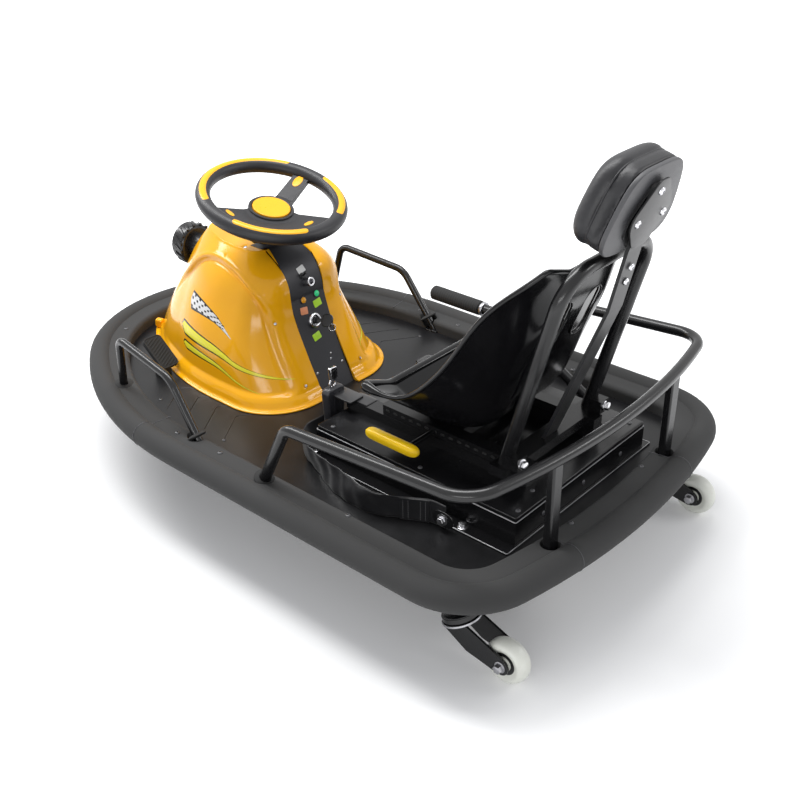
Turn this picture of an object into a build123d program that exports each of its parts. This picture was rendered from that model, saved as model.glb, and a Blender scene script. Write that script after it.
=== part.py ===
from build123d import *
import os
from math import atan2, cos, degrees, radians, sin, sqrt, tan

# Electric drift kart, in millimetres.
# +Z is up, the nose points to -Y, +X is the driver's left, Z = 0 is the floor.

# Running gear
DRIVE_RADIUS = 100.0
DRIVE_WIDTH = 50.0
DRIVE_TREAD = 22.0
CASTER_RADIUS = 40.0
CASTER_WIDTH = 32.0
CASTER_INSET = 83.0
CASTER_AXLE_Y = 616.0
CASTER_LEAN = 22.0
CASTER_OFFSET = 75.0
CASTER_HEIGHT = 70.0
SHAFT_GAP = 0.08
SLIDE_GAP = 0.3

# Deck and bumper plan, measured on the bumper roll's centre line
HALF_WIDTH = 387.0
NOSE_Y = -648.0
TAIL_Y = 648.0
NOSE_RADIUS = 300.0
SIDE_Y = -100.0
CORNER_RADIUS = 125.0
TAIL_RADIUS = 1350.0
DECK_TOP = 165.0
DECK_SHEET = 3.0
DECK_SKIRT = 22.0
ROLL_RADIUS = 24.0
ROLL_RISE = 10.0
BAND_WIDTH = 60.0
BAND_HEIGHT = 25.0
DECK_INSET = ROLL_RADIUS + 0.6

# Steering
COLUMN_LEAN = 14.6
WHEEL_CENTRE_Y = -210.0
WHEEL_CENTRE_Z = 532.0
RIM_RADIUS = 136.0
RIM_TUBE = 14.8
COLUMN_RADIUS = 16.0

# Seat box and seat
BOX_HALF = 199.0
BOX_FRONT = 92.0
BOX_REAR = 545.0
LID_TOP = 223.0
RAIL_INSET = 99.0
RAIL_HEIGHT = 38.0
HOOP_OFFSET = 25.0
HOOP_FOOT_Y = 466.0
HOOP_LEAN = 15.0
HOOP_TOP = 622.0
HOOP_TUBE = 12.0

# Tubes on the deck
SIDE_TUBE = 8.0
RAIL_TUBE = 10.5
RAIL_SIDE_INSET = 37.0

NOSE_CY = NOSE_Y + NOSE_RADIUS
SIDE_RADIUS = (HALF_WIDTH**2 + (SIDE_Y - NOSE_CY) ** 2 - NOSE_RADIUS**2) / (2 * (HALF_WIDTH - NOSE_RADIUS))
NOSE_TURN = degrees(atan2(NOSE_CY - SIDE_Y, SIDE_RADIUS - HALF_WIDTH))
CORNER_X = HALF_WIDTH - CORNER_RADIUS
CORNER_Y = TAIL_Y - TAIL_RADIUS + sqrt((TAIL_RADIUS - CORNER_RADIUS) ** 2 - CORNER_X**2)
CORNER_TURN = degrees(atan2(CORNER_Y - TAIL_Y + TAIL_RADIUS, CORNER_X))
ROLL_Z = DECK_TOP + ROLL_RISE
LID_BOTTOM = LID_TOP - 8.0
RAIL_TOP = LID_TOP + RAIL_HEIGHT
CASTER_X = HALF_WIDTH - CASTER_INSET
RAIL_SIDE_X = HALF_WIDTH - RAIL_SIDE_INSET
RAIL_X = BOX_HALF - RAIL_INSET
HOOP_X = RAIL_X + HOOP_OFFSET


def half_plan(grow):
    """Nose to tail along +X, grown outwards from the roll's centre line."""
    CenterArc((0, NOSE_CY), NOSE_RADIUS + grow, -90, 90 + NOSE_TURN)
    CenterArc((HALF_WIDTH - SIDE_RADIUS, SIDE_Y), SIDE_RADIUS + grow, NOSE_TURN, -NOSE_TURN)
    Line((HALF_WIDTH + grow, SIDE_Y), (HALF_WIDTH + grow, CORNER_Y))
    CenterArc((CORNER_X, CORNER_Y), CORNER_RADIUS + grow, 0, CORNER_TURN)
    CenterArc((0, TAIL_Y - TAIL_RADIUS), TAIL_RADIUS + grow, CORNER_TURN, 90 - CORNER_TURN)


def plan_sketch(grow, height):
    """Closed plan of the kart at one height."""
    with BuildSketch(Plane.XY.offset(height)) as plan:
        with BuildLine():
            half_plan(grow)
            mirror(about=Plane.YZ)
        make_face()
    return plan.sketch


def save(part, label):
    """Name a finished piece and write its STEP file."""
    part.label = label
    export_step(part, f"parts/{label}.step")


os.makedirs("parts", exist_ok=True)

# Steering axis through the wheel centre, leaning forward towards the floor
AXIS = (0.0, sin(radians(COLUMN_LEAN)), cos(radians(COLUMN_LEAN)))
DRIVE_Y = WHEEL_CENTRE_Y - (WHEEL_CENTRE_Z - DRIVE_RADIUS) * tan(radians(COLUMN_LEAN))
STEER = Plane(origin=(0, DRIVE_Y, DRIVE_RADIUS), x_dir=(1, 0, 0), z_dir=AXIS)
WHEEL_LIFT = (WHEEL_CENTRE_Z - DRIVE_RADIUS) / cos(radians(COLUMN_LEAN))
DECK_HOLE = 100.0
LEVER_X = CASTER_X - 42.0
SLOT_FRONT = 380.0
SLOT_REAR = 494.0
SLOT_WIDTH = 34.0

# Deck: folded sheet with a wheel opening and a slot for the drift lever
with BuildPart() as deck:
    extrude(plan_sketch(-DECK_INSET, DECK_TOP - DECK_SKIRT), amount=DECK_SKIRT)
    extrude(plan_sketch(-DECK_INSET - DECK_SHEET, DECK_TOP - DECK_SKIRT),
            amount=DECK_SKIRT - DECK_SHEET, mode=Mode.SUBTRACT)
    with BuildSketch(Plane.XY.offset(DECK_TOP)):
        with Locations((0, DRIVE_Y + 10)):
            Circle(DECK_HOLE)
        with Locations((-LEVER_X, (SLOT_FRONT + SLOT_REAR) / 2)):
            SlotOverall(SLOT_REAR - SLOT_FRONT, SLOT_WIDTH, rotation=90)
    extrude(amount=-DECK_SHEET, mode=Mode.SUBTRACT)
save(deck.part, "deck_pan")

# Chassis frame: two rails and cross members of rectangular tube under the deck
FRAME_X = 165.0
FRAME_TUBE = 30.0
FRAME_DEPTH = 19.0
FRAME_FRONT = -470.0
FRAME_REAR = 590.0
CROSS_Y = (-455.0, -150.0, 250.0, 575.0)
FRAME_BOTTOM = DECK_TOP - DECK_SHEET - FRAME_DEPTH
frame_mid = (FRAME_FRONT + FRAME_REAR) / 2
with BuildPart() as frame:
    with BuildSketch(Plane.XY.offset(FRAME_BOTTOM)):
        with Locations((-FRAME_X, frame_mid), (FRAME_X, frame_mid)):
            Rectangle(FRAME_TUBE, FRAME_REAR - FRAME_FRONT)
        for cross_y in CROSS_Y:
            with Locations((0, cross_y)):
                Rectangle(2 * FRAME_X, FRAME_TUBE)
    extrude(amount=FRAME_DEPTH)
save(frame.part, "chassis_frame")

# Bumper ring: round roll with a flat band inside it, on the deck's edge
NOTCH = 34.0
HOOP_ROUTE = (
    # inset from the roll, place along the side, height
    (34.7, -365.0, DECK_TOP),
    (32.2, -335.0, 305.0),
    (53.4, -160.0, 287.0),
    (50.0, -72.0, DECK_TOP),
)
RAIL_RISE = 4.4
RAIL_TAIL_Y = 613.0
RAIL_TAIL_Z = 350.0
RAIL_KNEE_Y = 176.0
BOW_RADIUS = 1300.0
POST_X = RAIL_SIDE_X - 170.0


def roll_x(y):
    """Half width of the roll's centre line at one place along the side."""
    if y > SIDE_Y:
        return HALF_WIDTH
    return HALF_WIDTH - SIDE_RADIUS + sqrt(SIDE_RADIUS**2 - (y - SIDE_Y) ** 2)


HOOP_FRONT, HOOP_RISE, HOOP_FALL, HOOP_BACK = [(roll_x(y) - inset, y, z) for inset, y, z in HOOP_ROUTE]
rail_knee_z = RAIL_TAIL_Z - (RAIL_TAIL_Y - RAIL_KNEE_Y) * tan(radians(RAIL_RISE))
post_y = RAIL_TAIL_Y - POST_X**2 / (2 * BOW_RADIUS)
FEET = (
    # foot on the deck, next point up the tube
    (HOOP_FRONT, HOOP_RISE),
    (HOOP_BACK, HOOP_FALL),
    ((RAIL_SIDE_X, 100.0, DECK_TOP), (RAIL_SIDE_X, RAIL_KNEE_Y, rail_knee_z)),
    ((POST_X, post_y, DECK_TOP), (POST_X, post_y, RAIL_TAIL_Z)),
)


def foot_plane(foot, above, side):
    """Plane across a tube at its foot, on one side of the kart."""
    lean = (side * (above[0] - foot[0]), above[1] - foot[1], above[2] - foot[2])
    return Plane(origin=(side * foot[0], foot[1], foot[2]), z_dir=lean)


with BuildPart() as bumper:
    with BuildLine() as ring:
        with BuildLine(Plane.XY.offset(ROLL_Z)):
            half_plan(0)
            mirror(about=Plane.YZ)
    with BuildSketch(Plane(origin=(0, NOSE_Y, ROLL_Z), x_dir=(0, 1, 0), z_dir=(1, 0, 0))):
        Circle(ROLL_RADIUS)
        with BuildSketch(mode=Mode.PRIVATE) as band:
            with Locations(((BAND_WIDTH + 10) / 2, BAND_HEIGHT / 2 - ROLL_RISE)):
                Rectangle(BAND_WIDTH - 10, BAND_HEIGHT)
            fillet(band.vertices().group_by(Axis.X)[-1].sort_by(Axis.Y)[-1], 9)
        add(band.sketch)
    sweep(path=ring.line)
    for foot, above in FEET:
        for side in (1, -1):
            with BuildSketch(foot_plane(foot, above, side)):
                Circle(NOTCH / 2)
            extrude(amount=2 * BAND_HEIGHT, both=True, mode=Mode.SUBTRACT)
with BuildPart() as bumper_ring:
    add(bumper.solids().sort_by(SortBy.VOLUME)[-1])
save(bumper_ring.part, "bumper_ring")

# Foot hoops: a bent tube on each side of the foot well
with BuildPart() as hoops:
    for side in (1, -1):
        with BuildLine() as path:
            FilletPolyline(
                foot_plane(HOOP_FRONT, HOOP_RISE, side).offset(-SIDE_TUBE).origin,
                (side * HOOP_RISE[0], HOOP_RISE[1], HOOP_RISE[2]),
                (side * HOOP_FALL[0], HOOP_FALL[1], HOOP_FALL[2]),
                foot_plane(HOOP_BACK, HOOP_FALL, side).offset(-SIDE_TUBE).origin,
                radius=(22, 45),
            )
        with BuildSketch(Plane(origin=path.line @ 0, z_dir=path.line % 0)):
            Circle(SIDE_TUBE)
        sweep(path=path.line)
    split(bisect_by=Plane.XY.offset(DECK_TOP), keep=Keep.TOP)
save(hoops.part, "foot_hoops")

# Rear rail: one bent tube from leg to leg, in a plane that rises to the rear
RAIL_CORNER = 62.0
RAIL_KNEE = 28.0
RAIL_FOOT = FEET[2][0]
RAIL_PLANE = Plane(origin=(0, RAIL_TAIL_Y, RAIL_TAIL_Z), x_dir=(1, 0, 0),
                   z_dir=(0, -sin(radians(RAIL_RISE)), cos(radians(RAIL_RISE))))
knee_s = -(RAIL_TAIL_Y - RAIL_KNEE_Y) / cos(radians(RAIL_RISE))
bow_x = RAIL_SIDE_X - RAIL_CORNER
bow_y = -BOW_RADIUS + sqrt((BOW_RADIUS - RAIL_CORNER) ** 2 - bow_x**2)
bow_turn = degrees(atan2(bow_y + BOW_RADIUS, bow_x))
knee_turn = radians(90 - RAIL_RISE) - atan2(RAIL_KNEE_Y - RAIL_FOOT[1], rail_knee_z - DECK_TOP)
knee_cut = RAIL_KNEE * tan(knee_turn / 2)
with BuildPart() as rail:
    with BuildLine() as path:
        with BuildLine(RAIL_PLANE):
            Line((RAIL_SIDE_X, knee_s + knee_cut), (RAIL_SIDE_X, bow_y))
            CenterArc((bow_x, bow_y), RAIL_CORNER, 0, bow_turn)
            CenterArc((0, -BOW_RADIUS), BOW_RADIUS, bow_turn, 90 - bow_turn)
            mirror(about=Plane.YZ)
        for side in (1, -1):
            knee = Vector(side * RAIL_SIDE_X, RAIL_KNEE_Y, rail_knee_z)
            foot = foot_plane(*FEET[2], side).offset(-RAIL_TUBE).origin
            back = Vector(0, cos(radians(RAIL_RISE)), sin(radians(RAIL_RISE)))
            down = (foot - knee).normalized()
            start = knee + down * knee_cut
            Line(foot, start)
            TangentArc(start, knee + back * knee_cut, tangent=down * -1)
    with BuildSketch(foot_plane(*FEET[2], 1).offset(-RAIL_TUBE)):
        Circle(RAIL_TUBE)
    sweep(path=path.wires()[0])
    split(bisect_by=Plane.XY.offset(DECK_TOP), keep=Keep.TOP)
save(rail.part, "rear_rail")

# Rear posts: upright flat-oval tubes between the deck and the rail
with BuildPart() as posts:
    with BuildSketch(Plane.XY.offset(DECK_TOP)):
        with Locations((POST_X, post_y), (-POST_X, post_y)):
            RectangleRounded(26, 15, 4)
    extrude(amount=RAIL_TAIL_Z - DECK_TOP)
    add(rail.part, mode=Mode.SUBTRACT)
save(posts.part, "rear_posts")

# Cowl: hollow lofted shell in two halves, open at the rear for the control panel
COWL_WALL = 3.0
COWL_SECTIONS = (
    # height, nose y, nose radius, half width, corner radius, rear y
    (168.0, -575.0, 85.0, 185.0, 110.0, -45.0),
    (260.0, -523.0, 80.0, 166.0, 95.0, -93.0),
    (350.0, -463.0, 70.0, 132.0, 72.0, -124.0),
    (412.0, -420.0, 58.0, 101.0, 52.0, -146.0),
    (442.0, -394.0, 42.0, 68.0, 32.0, -188.0),
)
STRIP_HALF = 46.0
FLANGE = 12.0
COWL_SIDE_Y = -215.0


def egg(height, nose_y, nose_r, half, corner, rear_y, grow):
    """Egg-shaped section: nose arc, flank arc, flank line, rear corner and flat rear."""
    flank_y = rear_y - (COWL_SECTIONS[0][5] - COWL_SIDE_Y) * half / COWL_SECTIONS[0][3]
    centre_y = nose_y + nose_r
    flank_r = (half**2 + (flank_y - centre_y) ** 2 - nose_r**2) / (2 * (half - nose_r))
    turn = degrees(atan2(centre_y - flank_y, flank_r - half))
    with BuildSketch(Plane.XY.offset(height)) as face:
        with BuildLine():
            CenterArc((0, centre_y), nose_r + grow, -90, 90 + turn)
            CenterArc((half - flank_r, flank_y), flank_r + grow, turn, -turn)
            Line((half + grow, flank_y), (half + grow, rear_y - corner))
            CenterArc((half - corner, rear_y - corner), corner + grow, 0, 90)
            Line((half - corner, rear_y + grow), (0, rear_y + grow))
            mirror(about=Plane.YZ)
        make_face()
    return face.sketch


with BuildPart() as cowl_outer:
    for row in COWL_SECTIONS:
        add(egg(*row, 0))
    loft()
with BuildPart() as cowl:
    add(cowl_outer.part)
    with BuildPart(mode=Mode.PRIVATE) as core:
        for row in COWL_SECTIONS:
            add(egg(*row, -COWL_WALL))
        loft()
    add(core.part, mode=Mode.SUBTRACT)
    extrude(egg(*COWL_SECTIONS[0], FLANGE), amount=-3.0)
    extrude(egg(*COWL_SECTIONS[0], -COWL_WALL), amount=-3.0, mode=Mode.SUBTRACT)
    extrude(egg(*COWL_SECTIONS[-1], 0), amount=3.0)
    with Locations((0, WHEEL_CENTRE_Y - (WHEEL_CENTRE_Z - 444) * tan(radians(COLUMN_LEAN)), 444)):
        Cylinder(34, 20, mode=Mode.SUBTRACT)
    with Locations((0, -100, 300)):
        Box(2 * STRIP_HALF, 260, 400, mode=Mode.SUBTRACT)
for label, keep in (("cowl_left", Keep.TOP), ("cowl_right", Keep.BOTTOM)):
    with BuildPart() as half_cowl:
        add(cowl.part)
        split(bisect_by=Plane.YZ, keep=keep)
    save(half_cowl.part, label)

# Control panel: curved plate that closes the cowl's rear
PANEL_SHEET = 3.0
PANEL_INSET = 1.5
panel_low = (COWL_SECTIONS[0][5] - PANEL_INSET, DECK_TOP)
panel_mid = (COWL_SECTIONS[2][5] - PANEL_INSET, COWL_SECTIONS[2][0])
panel_top = (COWL_SECTIONS[4][5] - PANEL_INSET, COWL_SECTIONS[4][0])
panel_quarter = (COWL_SECTIONS[1][5] - PANEL_INSET, COWL_SECTIONS[1][0])
panel_shoulder = (COWL_SECTIONS[3][5] - PANEL_INSET, COWL_SECTIONS[3][0])
with BuildPart() as panel:
    with BuildSketch(Plane.YZ):
        with BuildLine():
            ThreePointArc(panel_low, panel_quarter, panel_mid)
            ThreePointArc(panel_mid, panel_shoulder, panel_top)
            Line(panel_top, (panel_top[0] - PANEL_SHEET, panel_top[1] - PANEL_SHEET / 2))
            ThreePointArc(
                (panel_top[0] - PANEL_SHEET, panel_top[1] - PANEL_SHEET / 2),
                (panel_shoulder[0] - PANEL_SHEET, panel_shoulder[1] - PANEL_SHEET / 2),
                (panel_mid[0] - PANEL_SHEET, panel_mid[1]),
            )
            ThreePointArc(
                (panel_mid[0] - PANEL_SHEET, panel_mid[1]),
                (panel_quarter[0] - PANEL_SHEET, panel_quarter[1]),
                (panel_low[0] - PANEL_SHEET, panel_low[1]),
            )
            Line((panel_low[0] - PANEL_SHEET, panel_low[1]), panel_low)
        make_face()
    extrude(amount=STRIP_HALF - 0.4, both=True)
save(panel.part, "control_panel")

# Key switch, charging socket and lamps stand on the panel
def on_panel(x, z):
    """Plane on the panel's outer face at one height, facing the driver."""
    rows = COWL_SECTIONS[0:3] if z < COWL_SECTIONS[2][0] else COWL_SECTIONS[2:5]
    (z0, y0), (z1, y1), (z2, y2) = [(row[0], row[5] - PANEL_INSET) for row in rows]
    if rows[0] == COWL_SECTIONS[0]:
        z0 = DECK_TOP
    turn = 2 * (z0 * (y1 - y2) + z1 * (y2 - y0) + z2 * (y0 - y1))
    s0, s1, s2 = z0**2 + y0**2, z1**2 + y1**2, z2**2 + y2**2
    centre_z = (s0 * (y1 - y2) + s1 * (y2 - y0) + s2 * (y0 - y1)) / turn
    centre_y = (s0 * (z2 - z1) + s1 * (z0 - z2) + s2 * (z1 - z0)) / turn
    radius = sqrt((z1 - centre_z) ** 2 + (y1 - centre_y) ** 2)
    sign = 1 if y1 > centre_y else -1
    y = centre_y + sign * sqrt(radius**2 - (z - centre_z) ** 2)
    facing = (0, sign * (y - centre_y), sign * (z - centre_z))
    return Plane(origin=(x, y, z), x_dir=(-1, 0, 0), z_dir=facing)


SEAT_IN = 1.5
with BuildPart() as key_switch:
    with BuildSketch(on_panel(0, 300).offset(-SEAT_IN)):
        Circle(13)
    extrude(amount=6 + SEAT_IN)
    with BuildSketch(on_panel(0, 300).offset(6)):
        Circle(7)
    extrude(amount=5)
    with BuildSketch(on_panel(0, 300).offset(11)):
        Rectangle(2.5, 12)
    extrude(amount=22)
    add(panel.part, mode=Mode.SUBTRACT)
save(key_switch.part, "key_switch")

SOCKET_BORE = 5.5
with BuildPart() as socket:
    with BuildSketch(on_panel(-4, 378).offset(-SEAT_IN)):
        Circle(9)
    extrude(amount=14 + SEAT_IN)
    with BuildSketch(on_panel(-4, 378).offset(14)):
        Circle(SOCKET_BORE)
    extrude(amount=-12, mode=Mode.SUBTRACT)
    add(panel.part, mode=Mode.SUBTRACT)
save(socket.part, "charge_socket")

LAMPS = (
    # place across the panel, height
    (13.6, 345.0),
    (-24.0, 347.0),
)
with BuildPart() as lamps:
    for lamp_x, lamp_z in LAMPS:
        with BuildSketch(on_panel(lamp_x, lamp_z).offset(-SEAT_IN)):
            Circle(6.5)
        extrude(amount=5 + SEAT_IN)
    add(panel.part, mode=Mode.SUBTRACT)
save(lamps.part, "indicator_lamps")

# Headlight on the cowl's nose: finned round housing and its lens
LIGHT_Z = 373.0
LIGHT_RADIUS = 43.0
LIGHT_DEPTH = 34.0
LIGHT_BACK = -463.0
LIGHT_STEM = 26.0
LIGHT = Plane(origin=(0, LIGHT_BACK, LIGHT_Z), x_dir=(1, 0, 0), z_dir=(0, -1, 0))
with BuildPart() as light:
    with BuildSketch(LIGHT):
        Circle(LIGHT_RADIUS)
    extrude(amount=LIGHT_DEPTH)
    fillet(light.edges().group_by(Axis.Y)[-1], 8)
    with BuildSketch(LIGHT.offset(LIGHT_DEPTH)):
        Circle(LIGHT_RADIUS - 4)
    extrude(amount=-10, mode=Mode.SUBTRACT)
    with BuildSketch(LIGHT):
        Circle(LIGHT_STEM)
    extrude(amount=-34)
    add(cowl_outer.part, mode=Mode.SUBTRACT)
save(light.part, "headlight_housing")
with BuildPart() as lens:
    with BuildSketch(LIGHT.offset(LIGHT_DEPTH - 9)):
        Circle(LIGHT_RADIUS - 4.5)
    extrude(amount=6)
save(lens.part, "headlight_lens")

# Pedals: a pad on a bracket each side of the cowl
PEDAL_X = 187.0
PEDAL_Y = -388.0
PEDAL_Z = 205.0
PEDAL_WIDTH = 44.0
PEDAL_LONG = 78.0
PEDAL_SHEET = 8.0
PEDAL_FACING = (0, 0.62, 0.785)
with BuildPart() as pedals:
    for side in (1, -1):
        pad = Plane(origin=(side * PEDAL_X, PEDAL_Y, PEDAL_Z), x_dir=(1, 0, 0), z_dir=PEDAL_FACING)
        with BuildSketch(pad):
            RectangleRounded(PEDAL_WIDTH, PEDAL_LONG, 8)
        extrude(amount=PEDAL_SHEET)
        with BuildSketch(Plane.XY.offset(DECK_TOP)):
            with Locations((side * (PEDAL_X + 4), PEDAL_Y + 10)):
                Rectangle(20, 30)
        extrude(amount=PEDAL_Z - DECK_TOP + PEDAL_SHEET)
        with BuildSketch(pad.offset(PEDAL_SHEET)):
            Rectangle(2 * PEDAL_WIDTH, 2 * PEDAL_LONG)
        extrude(amount=PEDAL_LONG, mode=Mode.SUBTRACT)
save(pedals.part, "pedals")

# Seat box: folded box with a foot flange, a lid and the battery inside
BOX_FLANGE = 25.0
BOX_SHEET = 2.0
BATTERY_MARGIN = 78.0
box_mid = (BOX_FRONT + BOX_REAR) / 2
box_long = BOX_REAR - BOX_FRONT
with BuildPart() as seat_box:
    with BuildSketch(Plane.XY.offset(DECK_TOP)):
        with Locations((0, box_mid)):
            Rectangle(2 * (BOX_HALF + BOX_FLANGE), box_long + 6)
            Rectangle(2 * (BOX_HALF - BOX_SHEET), box_long - 2 * BOX_SHEET, mode=Mode.SUBTRACT)
    extrude(amount=3)
    with BuildSketch(Plane.XY.offset(DECK_TOP)):
        with Locations((0, box_mid)):
            Rectangle(2 * BOX_HALF, box_long)
            Rectangle(2 * (BOX_HALF - BOX_SHEET), box_long - 2 * BOX_SHEET, mode=Mode.SUBTRACT)
    extrude(amount=LID_BOTTOM - DECK_TOP)
save(seat_box.part, "seat_box")
with BuildPart() as lid:
    with BuildSketch(Plane.XY.offset(LID_BOTTOM)):
        with Locations((0, box_mid)):
            RectangleRounded(2 * BOX_HALF, box_long, 3)
    extrude(amount=LID_TOP - LID_BOTTOM)
save(lid.part, "seat_box_lid")
with BuildPart() as battery:
    with BuildSketch(Plane.XY.offset(DECK_TOP)):
        with Locations((0, box_mid)):
            Rectangle(2 * (BOX_HALF - BATTERY_MARGIN), box_long - 2 * BATTERY_MARGIN)
    extrude(amount=LID_BOTTOM - DECK_TOP - 6)
save(battery.part, "battery")

# Seat slide: two slotted rails on the lid, with the latch handle
RAIL_WIDTH = 32.0
SLIDE_FRONT = 90.0
SLIDE_REAR = 505.0
GRIP_LONG = 120.0
GRIP_HIGH = 17.0
GRIP_WIDE = 16.0
slide_mid = (SLIDE_FRONT + SLIDE_REAR) / 2
rail_edge = RAIL_X + RAIL_WIDTH / 2
with BuildPart() as slides:
    with BuildSketch(Plane.XY.offset(LID_TOP)):
        with Locations((RAIL_X, slide_mid), (-RAIL_X, slide_mid)):
            Rectangle(RAIL_WIDTH, SLIDE_REAR - SLIDE_FRONT)
    extrude(amount=RAIL_HEIGHT / 2)
save(slides.part, "slide_rails")
with BuildPart() as handle:
    with BuildSketch(Plane.YZ.offset(rail_edge - 3)):
        with Locations((300, LID_TOP + RAIL_HEIGHT - 10)):
            Circle(5)
    extrude(amount=75)
    with BuildSketch(Plane.YZ.offset(rail_edge + 68)):
        with Locations((271, LID_TOP + RAIL_HEIGHT - 7)):
            RectangleRounded(GRIP_LONG, GRIP_HIGH, GRIP_HIGH / 2 - 0.5)
    extrude(amount=GRIP_WIDE)
save(handle.part, "slide_handle")

# Seat hoop: inverted U of tube behind the shell, leaning back
hoop_top_y = HOOP_FOOT_Y + (HOOP_TOP - RAIL_TOP) * tan(radians(HOOP_LEAN))
HOOP_BEND = 62.0
with BuildPart() as seat_hoop:
    with BuildLine() as path:
        FilletPolyline(
            (HOOP_X, HOOP_FOOT_Y, RAIL_TOP),
            (HOOP_X, hoop_top_y, HOOP_TOP),
            (-HOOP_X, hoop_top_y, HOOP_TOP),
            (-HOOP_X, HOOP_FOOT_Y, RAIL_TOP),
            radius=HOOP_BEND,
        )
    with BuildSketch(Plane(origin=path.line @ 0, z_dir=path.line % 0)):
        Circle(HOOP_TUBE)
    sweep(path=path.line)
    split(bisect_by=Plane.XY.offset(RAIL_TOP), keep=Keep.TOP)
save(seat_hoop.part, "seat_hoop")

# Seat shell: hollow bucket lofted through fanned U-shaped sections
SHELL_WALL = 5.0
SEAT_SECTIONS = (
    # centre y, centre z, rim y, rim z, rim half width, floor half width, corner radius
    (200.0, 312.0, 200.0, 340.0, 188.0, 120.0, 24.0),
    (250.0, 278.0, 245.0, 338.0, 191.0, 110.0, 36.0),
    (330.0, 267.0, 300.0, 352.0, 192.0, 100.0, 48.0),
    (402.0, 292.0, 352.0, 396.0, 190.0, 95.0, 52.0),
    (450.0, 372.0, 398.0, 458.0, 184.0, 95.0, 50.0),
    (487.0, 468.0, 446.0, 536.0, 172.0, 92.0, 44.0),
    (516.0, 545.0, 500.0, 592.0, 150.0, 80.0, 30.0),
    (534.0, 604.0, 530.0, 622.0, 128.0, 70.0, 14.0),
)


def bucket(centre_y, centre_z, rim_y, rim_z, rim_half, floor_half, corner):
    """Thick U section in the plane through the centre line and the rim."""
    depth = sqrt((rim_y - centre_y) ** 2 + (rim_z - centre_z) ** 2)
    rise = ((rim_y - centre_y) / depth, (rim_z - centre_z) / depth)
    plane = Plane(origin=(0, centre_y, centre_z), x_dir=(1, 0, 0), z_dir=(0, -rise[1], rise[0]))
    lean = atan2(depth, rim_half - floor_half)
    cut = corner * tan(lean / 2)
    side = (cos(lean), sin(lean))
    inner = corner - SHELL_WALL
    knee = (floor_half, 0)
    arc_in = (knee[0] - cut, 0)
    arc_out = (knee[0] + cut * side[0], cut * side[1])
    mid_angle = lean / 2
    arc_c = (arc_in[0], corner)
    arc_mid = (arc_c[0] + corner * sin(mid_angle), arc_c[1] - corner * cos(mid_angle))
    mid_in = (arc_c[0] + inner * sin(mid_angle), arc_c[1] - inner * cos(mid_angle))
    out_in = (arc_c[0] + inner * sin(lean), arc_c[1] - inner * cos(lean))
    rim = (rim_half, depth)
    rim_in = (rim_half - SHELL_WALL * sin(lean), depth + SHELL_WALL * cos(lean))
    with BuildSketch(plane) as face:
        with BuildLine():
            Line((0, 0), arc_in)
            ThreePointArc(arc_in, arc_mid, arc_out)
            Line(arc_out, rim)
            Line(rim, rim_in)
            Line(rim_in, out_in)
            ThreePointArc(out_in, mid_in, (arc_in[0], SHELL_WALL))
            Line((arc_in[0], SHELL_WALL), (0, SHELL_WALL))
            mirror(about=Plane.YZ)
        make_face()
    return face.sketch


with BuildPart() as shell:
    for row in SEAT_SECTIONS:
        add(bucket(*row))
    loft()
    with BuildSketch(Plane.XZ.offset(-400)):
        with Locations((42, 492), (-42, 492)):
            SlotOverall(96, 46, rotation=90)
    extrude(amount=-200, mode=Mode.SUBTRACT)
save(shell.part, "seat_shell")

# Seat carriage: upper rails, cross bars, cradles under the shell and the hoop's foot blocks
CARRIAGE_FRONT = 180.0
CARRIAGE_LONG = 325.0
CROSS_BAR = 30.0
CRADLE_LONG = 120.0
CRADLES = (
    # place of the cross bar, cradle depth, cradle height
    (247.0, 12.0, 20.0),
    (332.0, 18.0, 9.0),
)
FOOT_BLOCK = 26.0
carriage_mid = CARRIAGE_FRONT + CARRIAGE_LONG / 2
with BuildPart() as carriage:
    with BuildSketch(Plane.XY.offset(LID_TOP + RAIL_HEIGHT / 2 + SLIDE_GAP)):
        with Locations((RAIL_X, carriage_mid), (-RAIL_X, carriage_mid)):
            Rectangle(RAIL_WIDTH - 6, CARRIAGE_LONG)
        with Locations((0, HOOP_FOOT_Y)):
            Rectangle(2 * HOOP_X + 40, CROSS_BAR + 8)
        for cradle_y, cradle_deep, cradle_high in CRADLES:
            with Locations((0, cradle_y)):
                Rectangle(2 * RAIL_X + 20, CROSS_BAR)
    extrude(amount=RAIL_HEIGHT / 2 - SLIDE_GAP)
    for cradle_y, cradle_deep, cradle_high in CRADLES:
        with BuildSketch(Plane.XY.offset(RAIL_TOP)):
            with Locations((0, cradle_y)):
                Rectangle(CRADLE_LONG, cradle_deep)
        extrude(amount=cradle_high)
    with BuildSketch(Plane.XY.offset(RAIL_TOP)):
        with Locations((HOOP_X, HOOP_FOOT_Y + 22), (-HOOP_X, HOOP_FOOT_Y + 22)):
            Rectangle(FOOT_BLOCK, FOOT_BLOCK)
    extrude(amount=FOOT_BLOCK - 2)
    add(shell.part, mode=Mode.SUBTRACT)
    add(seat_hoop.part, mode=Mode.SUBTRACT)
save(carriage.part, "seat_carriage")

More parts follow.
